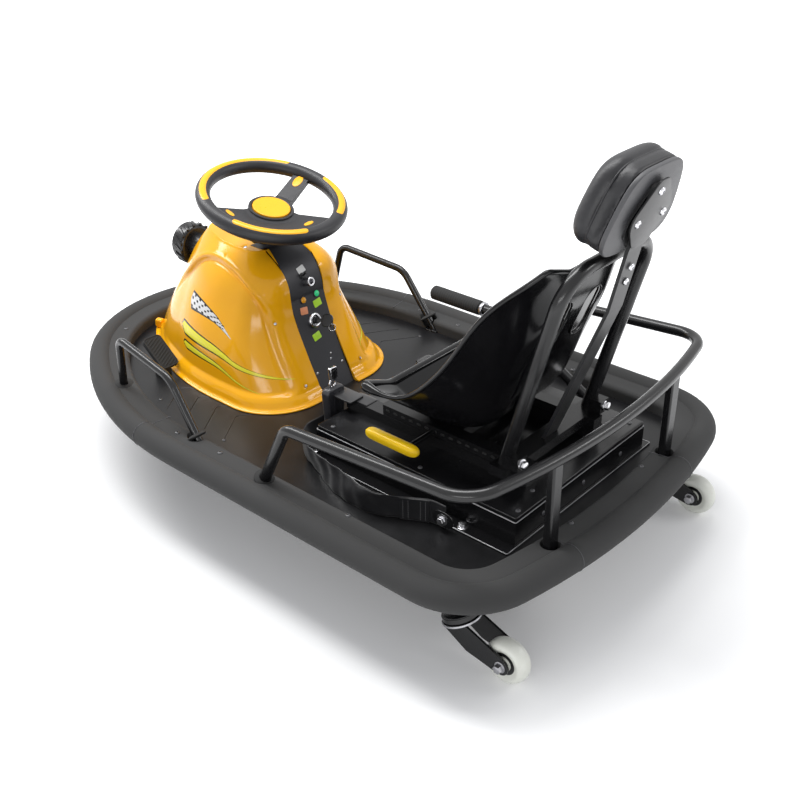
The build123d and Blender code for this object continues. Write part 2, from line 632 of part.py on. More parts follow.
# Headrest: flat bar rising from the carriage to a plate, a hard back and the pad
BAR_WIDTH = 40.0
BAR_SHEET = 6.0
HEAD_Y = 611.0
HEAD_Z = 705.0
HEAD_LEAN = 17.0
PLATE_SHEET = 3.0
PLATE_HALF = 46.0
head_facing = (0, cos(radians(HEAD_LEAN)), -sin(radians(HEAD_LEAN)))
HEAD = Plane(origin=(0, HEAD_Y, HEAD_Z), x_dir=(-1, 0, 0), z_dir=head_facing)
plate_y = HEAD_Y + PLATE_SHEET / cos(radians(HEAD_LEAN))
BAR_POINTS = (
    (463.0, RAIL_TOP - 8),
    (571.0, 535.0),
    (plate_y - (HEAD_Z - 640.0) * tan(radians(HEAD_LEAN)), 640.0),
    (plate_y + (750.0 - HEAD_Z) * tan(radians(HEAD_LEAN)), 750.0),
)
with BuildPart() as bar:
    with BuildSketch(Plane.YZ):
        with BuildLine():
            Polyline(*BAR_POINTS)
            offset(amount=BAR_SHEET, side=Side.RIGHT)
        make_face()
    extrude(amount=BAR_WIDTH / 2, both=True)
    split(bisect_by=Plane.XY.offset(RAIL_TOP), keep=Keep.TOP)
    with BuildSketch(HEAD):
        with BuildLine():
            Polyline((0, PLATE_HALF), (12, PLATE_HALF), (PLATE_HALF, -6), (PLATE_HALF, 12 - PLATE_HALF),
                     (20, -14 - PLATE_HALF), (0, -14 - PLATE_HALF))
            mirror(about=Plane.YZ)
        make_face()
    extrude(amount=PLATE_SHEET)
save(bar.part, "headrest_bar")
with BuildPart() as head_back:
    with BuildSketch(HEAD):
        with Locations((0, 3)):
            RectangleRounded(190, 140, 34)
    extrude(amount=-8)
save(head_back.part, "headrest_back")
with BuildPart() as head_pad:
    with BuildSketch(HEAD.offset(-8)):
        with Locations((0, 5)):
            RectangleRounded(204, 152, 40)
    extrude(amount=-62)
    fillet(head_pad.faces().sort_by(Axis.Y)[0].edges(), 22)
save(head_pad.part, "headrest_pad")

# Steering head: bearing tube on a bridge over the drive wheel
BRIDGE_HALF = 116.0
BRIDGE_SHEET = 5.0
BRIDGE_TOP = 248.0
BRIDGE_LONG = 130.0
HEAD_RADIUS = 26.0
SLEEVE_LOW = 144.0
SLEEVE_LONG = 90.0
head_y = DRIVE_Y + (BRIDGE_TOP - DRIVE_RADIUS) * tan(radians(COLUMN_LEAN))
with BuildPart() as head:
    with BuildSketch(Plane.XZ.offset(-head_y)):
        with Locations((0, (DECK_TOP + BRIDGE_TOP) / 2)):
            Rectangle(2 * BRIDGE_HALF, BRIDGE_TOP - DECK_TOP)
        with Locations((0, (DECK_TOP + BRIDGE_TOP) / 2 - BRIDGE_SHEET)):
            Rectangle(2 * (BRIDGE_HALF - BRIDGE_SHEET), BRIDGE_TOP - DECK_TOP, mode=Mode.SUBTRACT)
    extrude(amount=BRIDGE_LONG / 2, both=True)
    with BuildSketch(STEER.offset(SLEEVE_LOW)):
        Circle(HEAD_RADIUS)
    extrude(amount=SLEEVE_LONG)
    with BuildSketch(STEER.offset(SLEEVE_LOW - 40)):
        Circle(COLUMN_RADIUS + SHAFT_GAP)
    extrude(amount=SLEEVE_LONG + 80, mode=Mode.SUBTRACT)
save(head.part, "steering_head")

# Steering column, fork and wheel turn together about the leaning axis
CROWN_LIFT = 113.0
CROWN_SHEET = 8.0
BLADE_GAP = 34.0
BLADE_SHEET = 6.0
with BuildPart() as column:
    with BuildSketch(STEER.offset(CROWN_LIFT + CROWN_SHEET)):
        Circle(COLUMN_RADIUS)
    extrude(amount=WHEEL_LIFT - CROWN_LIFT - CROWN_SHEET - 34)
save(column.part, "steering_column")
with BuildPart() as fork:
    with BuildSketch(STEER.offset(CROWN_LIFT)):
        RectangleRounded(2 * (BLADE_GAP + BLADE_SHEET), 56, 8)
    extrude(amount=CROWN_SHEET)
    for side in (1, -1):
        across = (0, side * AXIS[2], -side * AXIS[1])
        blade_foot = (side * BLADE_GAP, DRIVE_Y, DRIVE_RADIUS)
        with BuildSketch(Plane(origin=blade_foot, x_dir=across, z_dir=(side, 0, 0))):
            with BuildLine():
                Polyline((-20, 0), (-26, CROWN_LIFT), (26, CROWN_LIFT), (20, 0), (-20, 0))
            make_face()
            Circle(20)
        extrude(amount=BLADE_SHEET)
    with Locations(Location((0, DRIVE_Y, DRIVE_RADIUS), (0, 90, 0))):
        Cylinder(8, 2 * (BLADE_GAP + BLADE_SHEET) + 8)
save(fork.part, "drive_fork")
WHEEL = STEER.offset(WHEEL_LIFT)
SPOKE_TURN = 198.0
SPOKE_WIDTH = 34.0
WEB_FROM = 342.0
WEB_TO = 116.0
HUB_RADIUS = 46.0
HUB_DROP = 34.0
HUB_SHEET = 14.0
web_mid = (WEB_FROM - 360 + WEB_TO) / 2


def on_circle(radius, turn):
    """Point on a circle about the sketch's origin."""
    return (radius * cos(radians(turn)), radius * sin(radians(turn)))


web_rim = [on_circle(RIM_RADIUS, turn) for turn in (WEB_FROM, web_mid, WEB_TO)]
web_hub = [on_circle(HUB_RADIUS, turn) for turn in (web_mid - 82, web_mid + 82)]
section = Plane(origin=WHEEL.origin, x_dir=WHEEL.x_dir, z_dir=WHEEL.y_dir * -1)
with BuildPart() as steering_wheel:
    with BuildSketch(section):
        with BuildLine():
            Polyline((0, -HUB_DROP), (60, -HUB_DROP), (RIM_RADIUS, -8), (RIM_RADIUS, 3),
                     (55, -HUB_DROP + HUB_SHEET), (0, -HUB_DROP + HUB_SHEET), (0, -HUB_DROP))
        make_face()
    revolve(axis=Axis(WHEEL.origin, WHEEL.z_dir))
    with BuildSketch(WHEEL.offset(-2 * HUB_DROP)) as plan:
        Circle(HUB_RADIUS)
        with Locations(Location((0, 0, 0), (0, 0, SPOKE_TURN))):
            Rectangle(RIM_RADIUS, SPOKE_WIDTH, align=(Align.MIN, Align.CENTER))
        with BuildLine():
            Line(web_hub[0], web_rim[0])
            ThreePointArc(*web_rim)
            Line(web_rim[2], web_hub[1])
            Line(web_hub[1], web_hub[0])
        make_face()
    extrude(amount=3 * HUB_DROP, mode=Mode.INTERSECT)
    with Locations(WHEEL):
        Torus(RIM_RADIUS, RIM_TUBE)
save(steering_wheel.part, "steering_wheel")
with BuildPart() as cap:
    with BuildSketch(WHEEL.offset(-HUB_DROP + HUB_SHEET)):
        Circle(38)
    extrude(amount=5)
    fillet(cap.faces().sort_by(Axis.Z)[-1].edges(), 2)
save(cap.part, "steering_cap")

# Drive wheel: hub motor and tyre on the fork's axle
DRIVE = Plane(origin=(0, DRIVE_Y, DRIVE_RADIUS), x_dir=(0, 1, 0), z_dir=(1, 0, 0))
with BuildPart() as tyre:
    with BuildSketch(DRIVE):
        Circle(DRIVE_RADIUS)
        Circle(DRIVE_RADIUS - DRIVE_TREAD, mode=Mode.SUBTRACT)
    extrude(amount=DRIVE_WIDTH / 2, both=True)
    fillet(tyre.edges().filter_by(GeomType.CIRCLE).group_by(SortBy.RADIUS)[-1], 12)
save(tyre.part, "drive_tyre")
with BuildPart() as motor:
    with BuildSketch(DRIVE):
        Circle(DRIVE_RADIUS - DRIVE_TREAD)
    extrude(amount=DRIVE_WIDTH / 2 - 6, both=True)
    with BuildSketch(DRIVE):
        Circle(58)
    extrude(amount=BLADE_GAP - 3, both=True)
    with BuildSketch(DRIVE):
        Circle(8 + SHAFT_GAP)
    extrude(amount=60, both=True, mode=Mode.SUBTRACT)
save(motor.part, "drive_motor")

# Caster bar: cross tube with the drift lever and two swivel heads
LEAN = radians(CASTER_LEAN)
SWIVEL = (0.0, -sin(LEAN), cos(LEAN))
CUP_Y = CASTER_AXLE_Y - CASTER_OFFSET * cos(LEAN) - CASTER_HEIGHT * sin(LEAN)
CUP_Z = CASTER_RADIUS - CASTER_OFFSET * sin(LEAN) + CASTER_HEIGHT * cos(LEAN)
BAR_RADIUS = 14.0
BAR_LIFT = 46.0
BAR_Y = CUP_Y - BAR_LIFT * sin(LEAN)
BAR_Z = CUP_Z + BAR_LIFT * cos(LEAN)
CUP_RADIUS = 33.0
GRIP_RADIUS = 15.5
LEVER_TUBE = 11.0
LEVER_BEND = (175.0, 300.0)
LEVER_TIP = (-8.0, 300.0)
with BuildPart() as caster_bar:
    with BuildSketch(Plane.YZ):
        with Locations((BAR_Y, BAR_Z)):
            Circle(BAR_RADIUS)
    extrude(amount=CASTER_X + 22, both=True)
    for side in (1, -1):
        swivel = Plane(origin=(side * CASTER_X, CUP_Y, CUP_Z), x_dir=(1, 0, 0), z_dir=SWIVEL)
        with BuildSketch(swivel.offset(1)):
            Circle(CUP_RADIUS - 2)
        extrude(amount=10)
        with BuildSketch(swivel.offset(1)):
            Circle(BAR_RADIUS + 2)
        extrude(amount=BAR_LIFT - 4)
    with BuildLine() as path:
        FilletPolyline((-LEVER_X, BAR_Y, BAR_Z), (-LEVER_X, *LEVER_BEND), (-LEVER_X, *LEVER_TIP), radius=60)
    with BuildSketch(Plane(origin=path.line @ 0, z_dir=path.line % 0)):
        Circle(LEVER_TUBE)
    sweep(path=path.line)
save(caster_bar.part, "caster_bar")
with BuildPart() as grip:
    with BuildSketch(Plane(origin=(-LEVER_X, LEVER_TIP[0] - 5, LEVER_TIP[1]), z_dir=(0, 1, 0))):
        Circle(GRIP_RADIUS)
    extrude(amount=130)
    with BuildSketch(Plane(origin=(-LEVER_X, LEVER_TIP[0], LEVER_TIP[1]), z_dir=(0, 1, 0))):
        Circle(LEVER_TUBE)
    extrude(amount=130, mode=Mode.SUBTRACT)
save(grip.part, "lever_grip")
BEARING_RADIUS = 23.0
BEARING_LONG = 24.0
with BuildPart() as bearings:
    for side in (1, -1):
        with BuildSketch(Plane.YZ.offset(side * FRAME_X - BEARING_LONG / 2)):
            with Locations((BAR_Y, (BAR_Z + FRAME_BOTTOM) / 2)):
                Rectangle(2 * BEARING_RADIUS, FRAME_BOTTOM - BAR_Z)
            with Locations((BAR_Y, BAR_Z)):
                Circle(BEARING_RADIUS)
                Circle(BAR_RADIUS + SHAFT_GAP, mode=Mode.SUBTRACT)
        extrude(amount=BEARING_LONG)
save(bearings.part, "bar_bearings")

# Casters: pressed fork and a wheel each side
AXLE_RADIUS = 5.0
CHEEK_GAP = 2.5
CHEEK_SHEET = 4.0
CHEEK = (
    # rearwards, up along the swivel axis
    (-27.0, -4.0),
    (27.0, -4.0),
    (CASTER_OFFSET + 10.0, 14.0 - CASTER_HEIGHT),
    (CASTER_OFFSET - 8.0, -14.0 - CASTER_HEIGHT),
    (10.0, -50.0),
    (-27.0, -4.0),
)
for label, side in (("left", 1), ("right", -1)):
    cup = Plane(origin=(side * CASTER_X, CUP_Y, CUP_Z), x_dir=(1, 0, 0), z_dir=SWIVEL)
    with BuildPart() as caster:
        with BuildSketch(cup):
            Circle(CUP_RADIUS)
        extrude(amount=-5)
        for cheek in (1, -1):
            cheek_x = side * CASTER_X + cheek * (CASTER_WIDTH / 2 + CHEEK_GAP)
            behind = (0, cos(LEAN), sin(LEAN))
            with BuildSketch(Plane(origin=(cheek_x, CUP_Y, CUP_Z), x_dir=behind, z_dir=(1, 0, 0))):
                with BuildLine():
                    Polyline(*CHEEK)
                make_face()
                with Locations((CASTER_OFFSET, -CASTER_HEIGHT)):
                    Circle(15)
            extrude(amount=cheek * CHEEK_SHEET)
        with BuildSketch(Plane.YZ.offset(side * CASTER_X)):
            with Locations((CASTER_AXLE_Y, CASTER_RADIUS)):
                Circle(AXLE_RADIUS)
        extrude(amount=CASTER_WIDTH / 2 + CHEEK_GAP + CHEEK_SHEET + 3, both=True)
    save(caster.part, f"caster_fork_{label}")
    with BuildPart() as wheel:
        with BuildSketch(Plane.YZ.offset(side * CASTER_X)):
            with Locations((CASTER_AXLE_Y, CASTER_RADIUS)):
                Circle(CASTER_RADIUS)
                Circle(AXLE_RADIUS + SHAFT_GAP, mode=Mode.SUBTRACT)
        extrude(amount=CASTER_WIDTH / 2, both=True)
        fillet(wheel.edges().filter_by(GeomType.CIRCLE).group_by(SortBy.RADIUS)[-1], 8)
    save(wheel.part, f"caster_wheel_{label}")

# Seat belt: webbing round the seat box, over the rails and the buckle between
STRAP = 46.0
STRAP_SHEET = 2.5
BUCKLE_X = RAIL_X + 20.0
BUCKLE_Y = 60.0
STRAP_Y = 94.0
STRAP_ROUTE = (
    # share of the way from the box's flange to the bumper's band, place along the box
    (0.068, 425.0),
    (0.068, 395.0),
    (0.592, 304.0),
    (0.427, 190.0),
    (0.078, 88.0),
)
strap_aisle = HALF_WIDTH - BAND_WIDTH - BOX_HALF - BOX_FLANGE
lower_rail_top = LID_TOP + RAIL_HEIGHT / 2
with BuildPart() as buckle:
    with BuildSketch(Plane.XY.offset(DECK_TOP)):
        with Locations((BUCKLE_X, BUCKLE_Y)):
            RectangleRounded(54, 20, 4)
    extrude(amount=lower_rail_top + STRAP_SHEET - DECK_TOP)
    with BuildSketch(Plane.XY.offset(lower_rail_top + STRAP_SHEET)):
        with Locations((BUCKLE_X - 8, BUCKLE_Y + 24)):
            Rectangle(38, 64)
    extrude(amount=3)
save(buckle.part, "belt_buckle")
with BuildPart() as near_strap:
    with BuildSketch(Plane.XY.offset(DECK_TOP)):
        with BuildLine():
            strap_points = [(BOX_HALF + BOX_FLANGE + share * strap_aisle, y) for share, y in STRAP_ROUTE]
            FilletPolyline(*strap_points, (BOX_HALF - 4, BUCKLE_Y), (BUCKLE_X + 27, BUCKLE_Y), radius=22)
            offset(amount=STRAP_SHEET, side=Side.LEFT)
        make_face()
    extrude(amount=STRAP)
save(near_strap.part, "belt_strap_left")
with BuildPart() as far_strap:
    with BuildSketch(Plane.XZ.offset(-STRAP_Y)):
        with BuildLine():
            Polyline((BUCKLE_X - 4, lower_rail_top), (RAIL_X - 18, lower_rail_top), (RAIL_X - 30, LID_TOP),
                     (30 - RAIL_X, LID_TOP), (18 - RAIL_X, lower_rail_top), (-RAIL_X - 18, lower_rail_top),
                     (-RAIL_X - 30, LID_TOP), (-BOX_HALF, LID_TOP), (-BOX_HALF, LID_TOP - 30))
            offset(amount=STRAP_SHEET, side=Side.RIGHT)
        make_face()
    extrude(amount=-STRAP)
save(far_strap.part, "belt_strap_right")
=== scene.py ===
"""Electric drift kart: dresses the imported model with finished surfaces, details, light and a camera.

Shapes are worked out in millimetres and turned to metres when a mesh is made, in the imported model's own
frame: +Z up, the nose to -Y, +X the driver's left. Sizes inside materials are metres.
"""

from __future__ import annotations

import logging
import math
from dataclasses import dataclass, field
from enum import Enum
from typing import Callable, Sequence

import bpy
import bmesh
import numpy as np
from mathutils import Matrix, Vector


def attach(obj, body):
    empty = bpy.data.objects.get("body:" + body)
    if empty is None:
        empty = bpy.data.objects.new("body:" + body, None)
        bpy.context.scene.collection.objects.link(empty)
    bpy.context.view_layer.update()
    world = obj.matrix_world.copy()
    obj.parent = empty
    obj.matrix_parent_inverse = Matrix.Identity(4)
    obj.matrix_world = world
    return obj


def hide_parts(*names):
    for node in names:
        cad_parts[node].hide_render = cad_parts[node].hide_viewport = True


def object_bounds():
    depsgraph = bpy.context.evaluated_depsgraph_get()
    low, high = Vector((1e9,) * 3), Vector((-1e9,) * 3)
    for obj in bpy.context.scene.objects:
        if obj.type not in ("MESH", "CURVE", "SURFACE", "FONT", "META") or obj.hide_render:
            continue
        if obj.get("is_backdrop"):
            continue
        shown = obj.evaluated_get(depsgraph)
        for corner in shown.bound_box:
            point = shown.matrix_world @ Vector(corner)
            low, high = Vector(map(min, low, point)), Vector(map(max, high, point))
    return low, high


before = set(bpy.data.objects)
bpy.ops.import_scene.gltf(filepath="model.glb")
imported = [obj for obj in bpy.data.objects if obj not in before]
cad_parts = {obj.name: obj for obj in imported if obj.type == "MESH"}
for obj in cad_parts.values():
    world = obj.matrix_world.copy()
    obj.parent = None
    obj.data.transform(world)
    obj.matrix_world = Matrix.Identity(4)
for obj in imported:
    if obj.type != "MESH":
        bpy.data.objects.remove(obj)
CAD_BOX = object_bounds()
LOG = logging.getLogger("drift_kart")
MM = 0.001
TAU = 2.0 * math.pi
Socket = bpy.types.NodeSocket
Values = float | np.ndarray


class Body(str, Enum):
    """The moving bodies that a piece can ride on."""

    CHASSIS = "chassis"
    STEERING = "steering"
    DRIVE = "drive_wheel"
    SEAT = "seat"
    DRIFT = "drift_bar"
    SWIVEL_LEFT = "swivel_left"
    SWIVEL_RIGHT = "swivel_right"
    WHEEL_LEFT = "wheel_left"
    WHEEL_RIGHT = "wheel_right"


def new_group(name: str, inputs: dict[str, float | str], outputs: Sequence[str]) -> bpy.types.NodeTree:
    """Make an empty shader group with its sockets.

    Args:
        name: the group's name.
        inputs: socket name to default value, or the word "vector".
        outputs: names of the float outputs.

    Returns:
        The node tree, with its "in" and "out" nodes named so.
    """
    tree = bpy.data.node_groups.new(name, "ShaderNodeTree")
    for label, value in inputs.items():
        kind = "NodeSocketVector" if value == "vector" else "NodeSocketFloat"
        socket = tree.interface.new_socket(name=label, in_out="INPUT", socket_type=kind)
        if value != "vector":
            socket.default_value = value
    for label in outputs:
        tree.interface.new_socket(name=label, in_out="OUTPUT", socket_type="NodeSocketFloat")
    tree.nodes.new("NodeGroupInput").name = "in"
    tree.nodes.new("NodeGroupOutput").name = "out"
    return tree


def math_node(tree: bpy.types.NodeTree, kind: str, first: Socket | float, second: Socket | float = 0.0,
              third: Socket | float | None = None) -> Socket:
    """Add a Math node.

    Args:
        tree: the tree that takes it.
        kind: its operation.
        first: first input, a socket or a number.
        second: second input.
        third: third input, where the operation has one.

    Returns:
        Its output.
    """
    node = tree.nodes.new("ShaderNodeMath")
    node.operation = kind
    for slot, value in enumerate((first, second, third)):
        if value is None:
            continue
        if isinstance(value, bpy.types.NodeSocket):
            tree.links.new(value, node.inputs[slot])
        else:
            node.inputs[slot].default_value = value
    return node.outputs[0]


def noise_node(tree: bpy.types.NodeTree, vector: Socket, scale: Socket | float, detail: float,
               rough: float = 0.55) -> Socket:
    """Add a Noise Texture.

    Args:
        tree: the tree that takes it.
        vector: where it is read.
        scale: its scale, a socket or a number.
        detail: number of finer layers.
        rough: strength of the finer layers.

    Returns:
        Its factor.
    """
    node = tree.nodes.new("ShaderNodeTexNoise")
    node.inputs["Detail"].default_value = detail
    node.inputs["Roughness"].default_value = rough
    tree.links.new(vector, node.inputs["Vector"])
    if isinstance(scale, bpy.types.NodeSocket):
        tree.links.new(scale, node.inputs["Scale"])
    else:
        node.inputs["Scale"].default_value = scale
    return node.outputs["Fac"]


def build_mottle() -> bpy.types.NodeTree:
    """Soft blotches: two noises, one six times finer, averaged and stretched about the middle.

    Returns:
        The group.
    """
    tree = new_group("mottle", {"Vector": "vector", "Size": 0.05, "Contrast": 1.0}, ["Mask"])
    source = tree.nodes["in"]
    scale = math_node(tree, "DIVIDE", 1.0, source.outputs["Size"])
    coarse = noise_node(tree, source.outputs["Vector"], scale, 2.0)
    fine = noise_node(tree, source.outputs["Vector"], math_node(tree, "MULTIPLY", scale, 6.0), 3.0)
    both = math_node(tree, "MULTIPLY", math_node(tree, "ADD", coarse, fine), 0.5)
    stretched = math_node(tree, "MULTIPLY", math_node(tree, "SUBTRACT", both, 0.5),
                          source.outputs["Contrast"])
    result = math_node(tree, "ADD", stretched, 0.5)
    result.node.use_clamp = True
    tree.links.new(result, tree.nodes["out"].inputs["Mask"])
    return tree


def build_grain() -> bpy.types.NodeTree:
    """Moulded or leather grain: cell edges of a Voronoi pattern, with fine noise over them.

    Returns:
        The group.
    """
    tree = new_group("grain", {"Vector": "vector", "Size": 0.002, "Pebble": 0.7}, ["Height"])
    source = tree.nodes["in"]
    scale = math_node(tree, "DIVIDE", 1.0, source.outputs["Size"])
    cells = tree.nodes.new("ShaderNodeTexVoronoi")
    cells.feature = "DISTANCE_TO_EDGE"
    tree.links.new(source.outputs["Vector"], cells.inputs["Vector"])
    tree.links.new(scale, cells.inputs["Scale"])
    pebble = math_node(tree, "MINIMUM", math_node(tree, "MULTIPLY", cells.outputs["Distance"], 4.0), 1.0)
    fuzz = noise_node(tree, source.outputs["Vector"], math_node(tree, "MULTIPLY", scale, 2.0), 4.0)
    blend = math_node(tree, "MULTIPLY", pebble, source.outputs["Pebble"])
    rest = math_node(tree, "MULTIPLY", fuzz, math_node(tree, "SUBTRACT", 1.0, source.outputs["Pebble"]))
    tree.links.new(math_node(tree, "ADD", blend, rest), tree.nodes["out"].inputs["Height"])
    return tree


def build_scuffs() -> bpy.types.NodeTree:
    """Thin scratches and rubbed spots: stretched noise above a threshold, broken up by a coarse noise.

    Returns:
        The group.
    """
    tree = new_group("scuffs", {"Vector": "vector", "Size": 0.03, "Amount": 0.3}, ["Mask"])
    source = tree.nodes["in"]
    stretch = tree.nodes.new("ShaderNodeMapping")
    stretch.inputs["Scale"].default_value = (1.0, 7.0, 3.0)
    stretch.inputs["Rotation"].default_value = (0.4, 0.2, 0.7)
    tree.links.new(source.outputs["Vector"], stretch.inputs["Vector"])
    scale = math_node(tree, "DIVIDE", 1.0, source.outputs["Size"])
    streak = noise_node(tree, stretch.outputs["Vector"], scale, 5.0, 0.65)
    patch = noise_node(tree, source.outputs["Vector"], math_node(tree, "MULTIPLY", scale, 0.35), 2.0)
    level = math_node(tree, "SUBTRACT", 0.86, math_node(tree, "MULTIPLY", source.outputs["Amount"], 0.3))
    both = math_node(tree, "ADD", math_node(tree, "MULTIPLY", streak, 0.7),
                     math_node(tree, "MULTIPLY", patch, 0.5))
    above = math_node(tree, "MULTIPLY", math_node(tree, "SUBTRACT", both, level), 14.0)
    above.node.use_clamp = True
    tree.links.new(above, tree.nodes["out"].inputs["Mask"])
    return tree


def build_weave() -> bpy.types.NodeTree:
    """Twill webbing on UV in metres: diagonal ribs crossed by fine picks, from sines of both coordinates.

    Returns:
        The group.
    """
    tree = new_group("weave", {"Vector": "vector", "Pitch": 0.0022}, ["Height", "Mask"])
    source = tree.nodes["in"]
    split = tree.nodes.new("ShaderNodeSeparateXYZ")
    tree.links.new(source.outputs["Vector"], split.inputs["Vector"])
    turn = math_node(tree, "DIVIDE", TAU, source.outputs["Pitch"])
    along = math_node(tree, "MULTIPLY", split.outputs["X"], turn)
    across = math_node(tree, "MULTIPLY", split.outputs["Y"], turn)
    rib = math_node(tree, "SINE", math_node(tree, "ADD", along, across))
    pick = math_node(tree, "SINE", math_node(tree, "MULTIPLY", math_node(tree, "SUBTRACT", along, across),
                                             2.0))
    both = math_node(tree, "ADD", math_node(tree, "MULTIPLY", rib, 0.35),
                     math_node(tree, "MULTIPLY", pick, 0.15))
    height = math_node(tree, "ADD", both, 0.5)
    tree.links.new(height, tree.nodes["out"].inputs["Height"])
    tree.links.new(height, tree.nodes["out"].inputs["Mask"])
    return tree


class Effects:
    """The shader groups, each built once."""

    built: dict[str, bpy.types.NodeTree] = {}
    makers: dict[str, Callable[[], bpy.types.NodeTree]] = {
        "mottle": build_mottle,
        "grain": build_grain,
        "scuffs": build_scuffs,
        "weave": build_weave,
    }

    @classmethod
    def place(cls, tree: bpy.types.NodeTree, name: str, vector: Socket, **values: float) -> bpy.types.Node:
        """Put a group into a material.

        Args:
            tree: the material's tree.
            name: the group's name.
            vector: the coordinates that it reads.
            values: its own values, by input name.

        Returns:
            The group's node.
        """
        if name not in cls.built:
            cls.built[name] = cls.makers[name]()
        node = tree.nodes.new("ShaderNodeGroup")
        node.node_tree = cls.built[name]
        tree.links.new(vector, node.inputs["Vector"])
        for label, value in values.items():
            node.inputs[label].default_value = value
        return node


class Pattern(Enum):
    """How a finish's relief is made."""

    PLAIN = "plain"
    GRAIN = "grain"
    WEAVE = "weave"


@dataclass(frozen=True)
class Finish:
    """One surface finish; colours are linear, sizes are metres.

    Args:
        name: the material's name.
        colour: main colour.
        second: colour mixed in by soft blotches.
        roughness: mean roughness.
        swing: how far the blotches move the roughness.
        scuff: amount of scratches, which lighten and roughen the surface.
        relief: pattern of the fine relief.
        size: size of one grain or thread.
        depth: depth of the relief.
        metallic: 1 for bare metal.
        coat: weight of a clear coat.
        sheen: weight of a soft sheen, for cloth and rubber.
        glow: emission strength.
        clear: transmission weight, for lenses.
        blotch: size of the blotches.
        shine: specular level, below a half for deep blacks.
    """

    name: str
    colour: tuple[float, float, float]
    second: tuple[float, float, float]
    roughness: float
    swing: float = 0.08
    scuff: float = 0.0
    relief: Pattern = Pattern.GRAIN
    size: float = 0.002
    depth: float = 0.00005
    metallic: float = 0.0
    coat: float = 0.0
    sheen: float = 0.0
    glow: float = 0.0
    clear: float = 0.0
    blotch: float = 0.08
    shine: float = 0.5

    def material(self) -> bpy.types.Material:
        """Build the material, the first time it is asked for.

        Returns:
            The material.
        """
        known = bpy.data.materials.get(self.name)
        if known:
            return known
        material = bpy.data.materials.new(self.name)
        material.use_nodes = True
        tree = material.node_tree
        shader = tree.nodes["Principled BSDF"]
        place = tree.nodes.new("ShaderNodeTexCoord")
        vector = place.outputs["UV" if self.relief is Pattern.WEAVE else "Object"]
        mottle = Effects.place(tree, "mottle", place.outputs["Object"], Size=self.blotch, Contrast=1.6)
        tint = tree.nodes.new("ShaderNodeMix")
        tint.data_type = "RGBA"
        tint.inputs["A"].default_value = (*self.colour, 1.0)
        tint.inputs["B"].default_value = (*self.second, 1.0)
        tree.links.new(mottle.outputs["Mask"], tint.inputs["Factor"])
        colour = tint.outputs["Result"]
        rough = math_node(tree, "MULTIPLY_ADD", mottle.outputs["Mask"], 2.0 * self.swing,
                          self.roughness - self.swing)
        if self.scuff:
            scuffs = Effects.place(tree, "scuffs", place.outputs["Object"], Size=0.03, Amount=self.scuff)
            worn = tree.nodes.new("ShaderNodeMix")
            worn.data_type = "RGBA"
            worn.inputs["B"].default_value = (*(0.6 * c + 0.06 for c in self.colour), 1.0)
            tree.links.new(scuffs.outputs["Mask"], worn.inputs["Factor"])
            tree.links.new(colour, worn.inputs["A"])
            colour = worn.outputs["Result"]
            rough = math_node(tree, "MULTIPLY_ADD", scuffs.outputs["Mask"], 0.18, rough)
        tree.links.new(colour, shader.inputs["Base Color"])
        tree.links.new(rough, shader.inputs["Roughness"])
        shader.inputs["Metallic"].default_value = self.metallic
        shader.inputs["Specular IOR Level"].default_value = self.shine
        shader.inputs["Coat Weight"].default_value = self.coat
        shader.inputs["Coat Roughness"].default_value = 0.04
        shader.inputs["Sheen Weight"].default_value = self.sheen
        shader.inputs["Transmission Weight"].default_value = self.clear
        if self.glow:
            shader.inputs["Emission Color"].default_value = (*self.colour, 1.0)
            shader.inputs["Emission Strength"].default_value = self.glow
        if self.relief is not Pattern.PLAIN:
            if self.relief is Pattern.WEAVE:
                group = Effects.place(tree, "weave", vector, Pitch=self.size)
            else:
                group = Effects.place(tree, "grain", vector, Size=self.size)
            bump = tree.nodes.new("ShaderNodeBump")
            bump.inputs["Distance"].default_value = self.depth
            tree.links.new(group.outputs["Height"], bump.inputs["Height"])
            tree.links.new(bump.outputs["Normal"], shader.inputs["Normal"])
        return material


POWDER = Finish("black_powder_coat", (0.006, 0.006, 0.0065), (0.01, 0.01, 0.011), 0.25, 0.03, size=0.0012,
                depth=0.000003, shine=0.45)
SHEET = Finish("black_sheet_paint", (0.006, 0.006, 0.0065), (0.01, 0.01, 0.011), 0.32, 0.08, 0.25,
               size=0.0015, depth=0.000008, blotch=0.15, shine=0.3)
BOX_PAINT = Finish("seat_box_paint", (0.005, 0.005, 0.0055), (0.008, 0.008, 0.009), 0.22, 0.06, 0.25,
                   size=0.0012, depth=0.000005, blotch=0.12, shine=0.35)
RUBBER = Finish("bumper_rubber", (0.009, 0.009, 0.0105), (0.015, 0.015, 0.018), 0.36, 0.05, 0.12, size=0.0022,
                depth=0.00001, blotch=0.11, shine=0.4)
ORANGE = Finish("cowl_gloss_orange", (0.96, 0.43, 0.006), (0.97, 0.47, 0.009), 0.13, 0.03, size=0.004,
                depth=0.000006, blotch=0.2, shine=0.3)
PANEL = Finish("panel_black", (0.007, 0.007, 0.008), (0.01, 0.01, 0.011), 0.3, 0.05, 0.1, depth=0.000006,
               shine=0.35)
BRIGHT = Finish("polished_steel", (0.72, 0.72, 0.74), (0.6, 0.6, 0.63), 0.16, 0.06, size=0.001, depth=0.00001,
                metallic=1.0, blotch=0.01)
ZINC = Finish("plated_steel", (0.5, 0.5, 0.52), (0.36, 0.36, 0.38), 0.34, 0.1, size=0.001, depth=0.00002,
              metallic=1.0, blotch=0.01)
DARK_BOLT = Finish("blackened_bolt", (0.05, 0.05, 0.055), (0.09, 0.09, 0.095), 0.34, 0.1, depth=0.00002,
                   blotch=0.01)
LAMP_GREEN = Finish("green_lamp", (0.03, 0.62, 0.24), (0.02, 0.5, 0.17), 0.18, glow=0.25, depth=0.00001,
                    blotch=0.01)
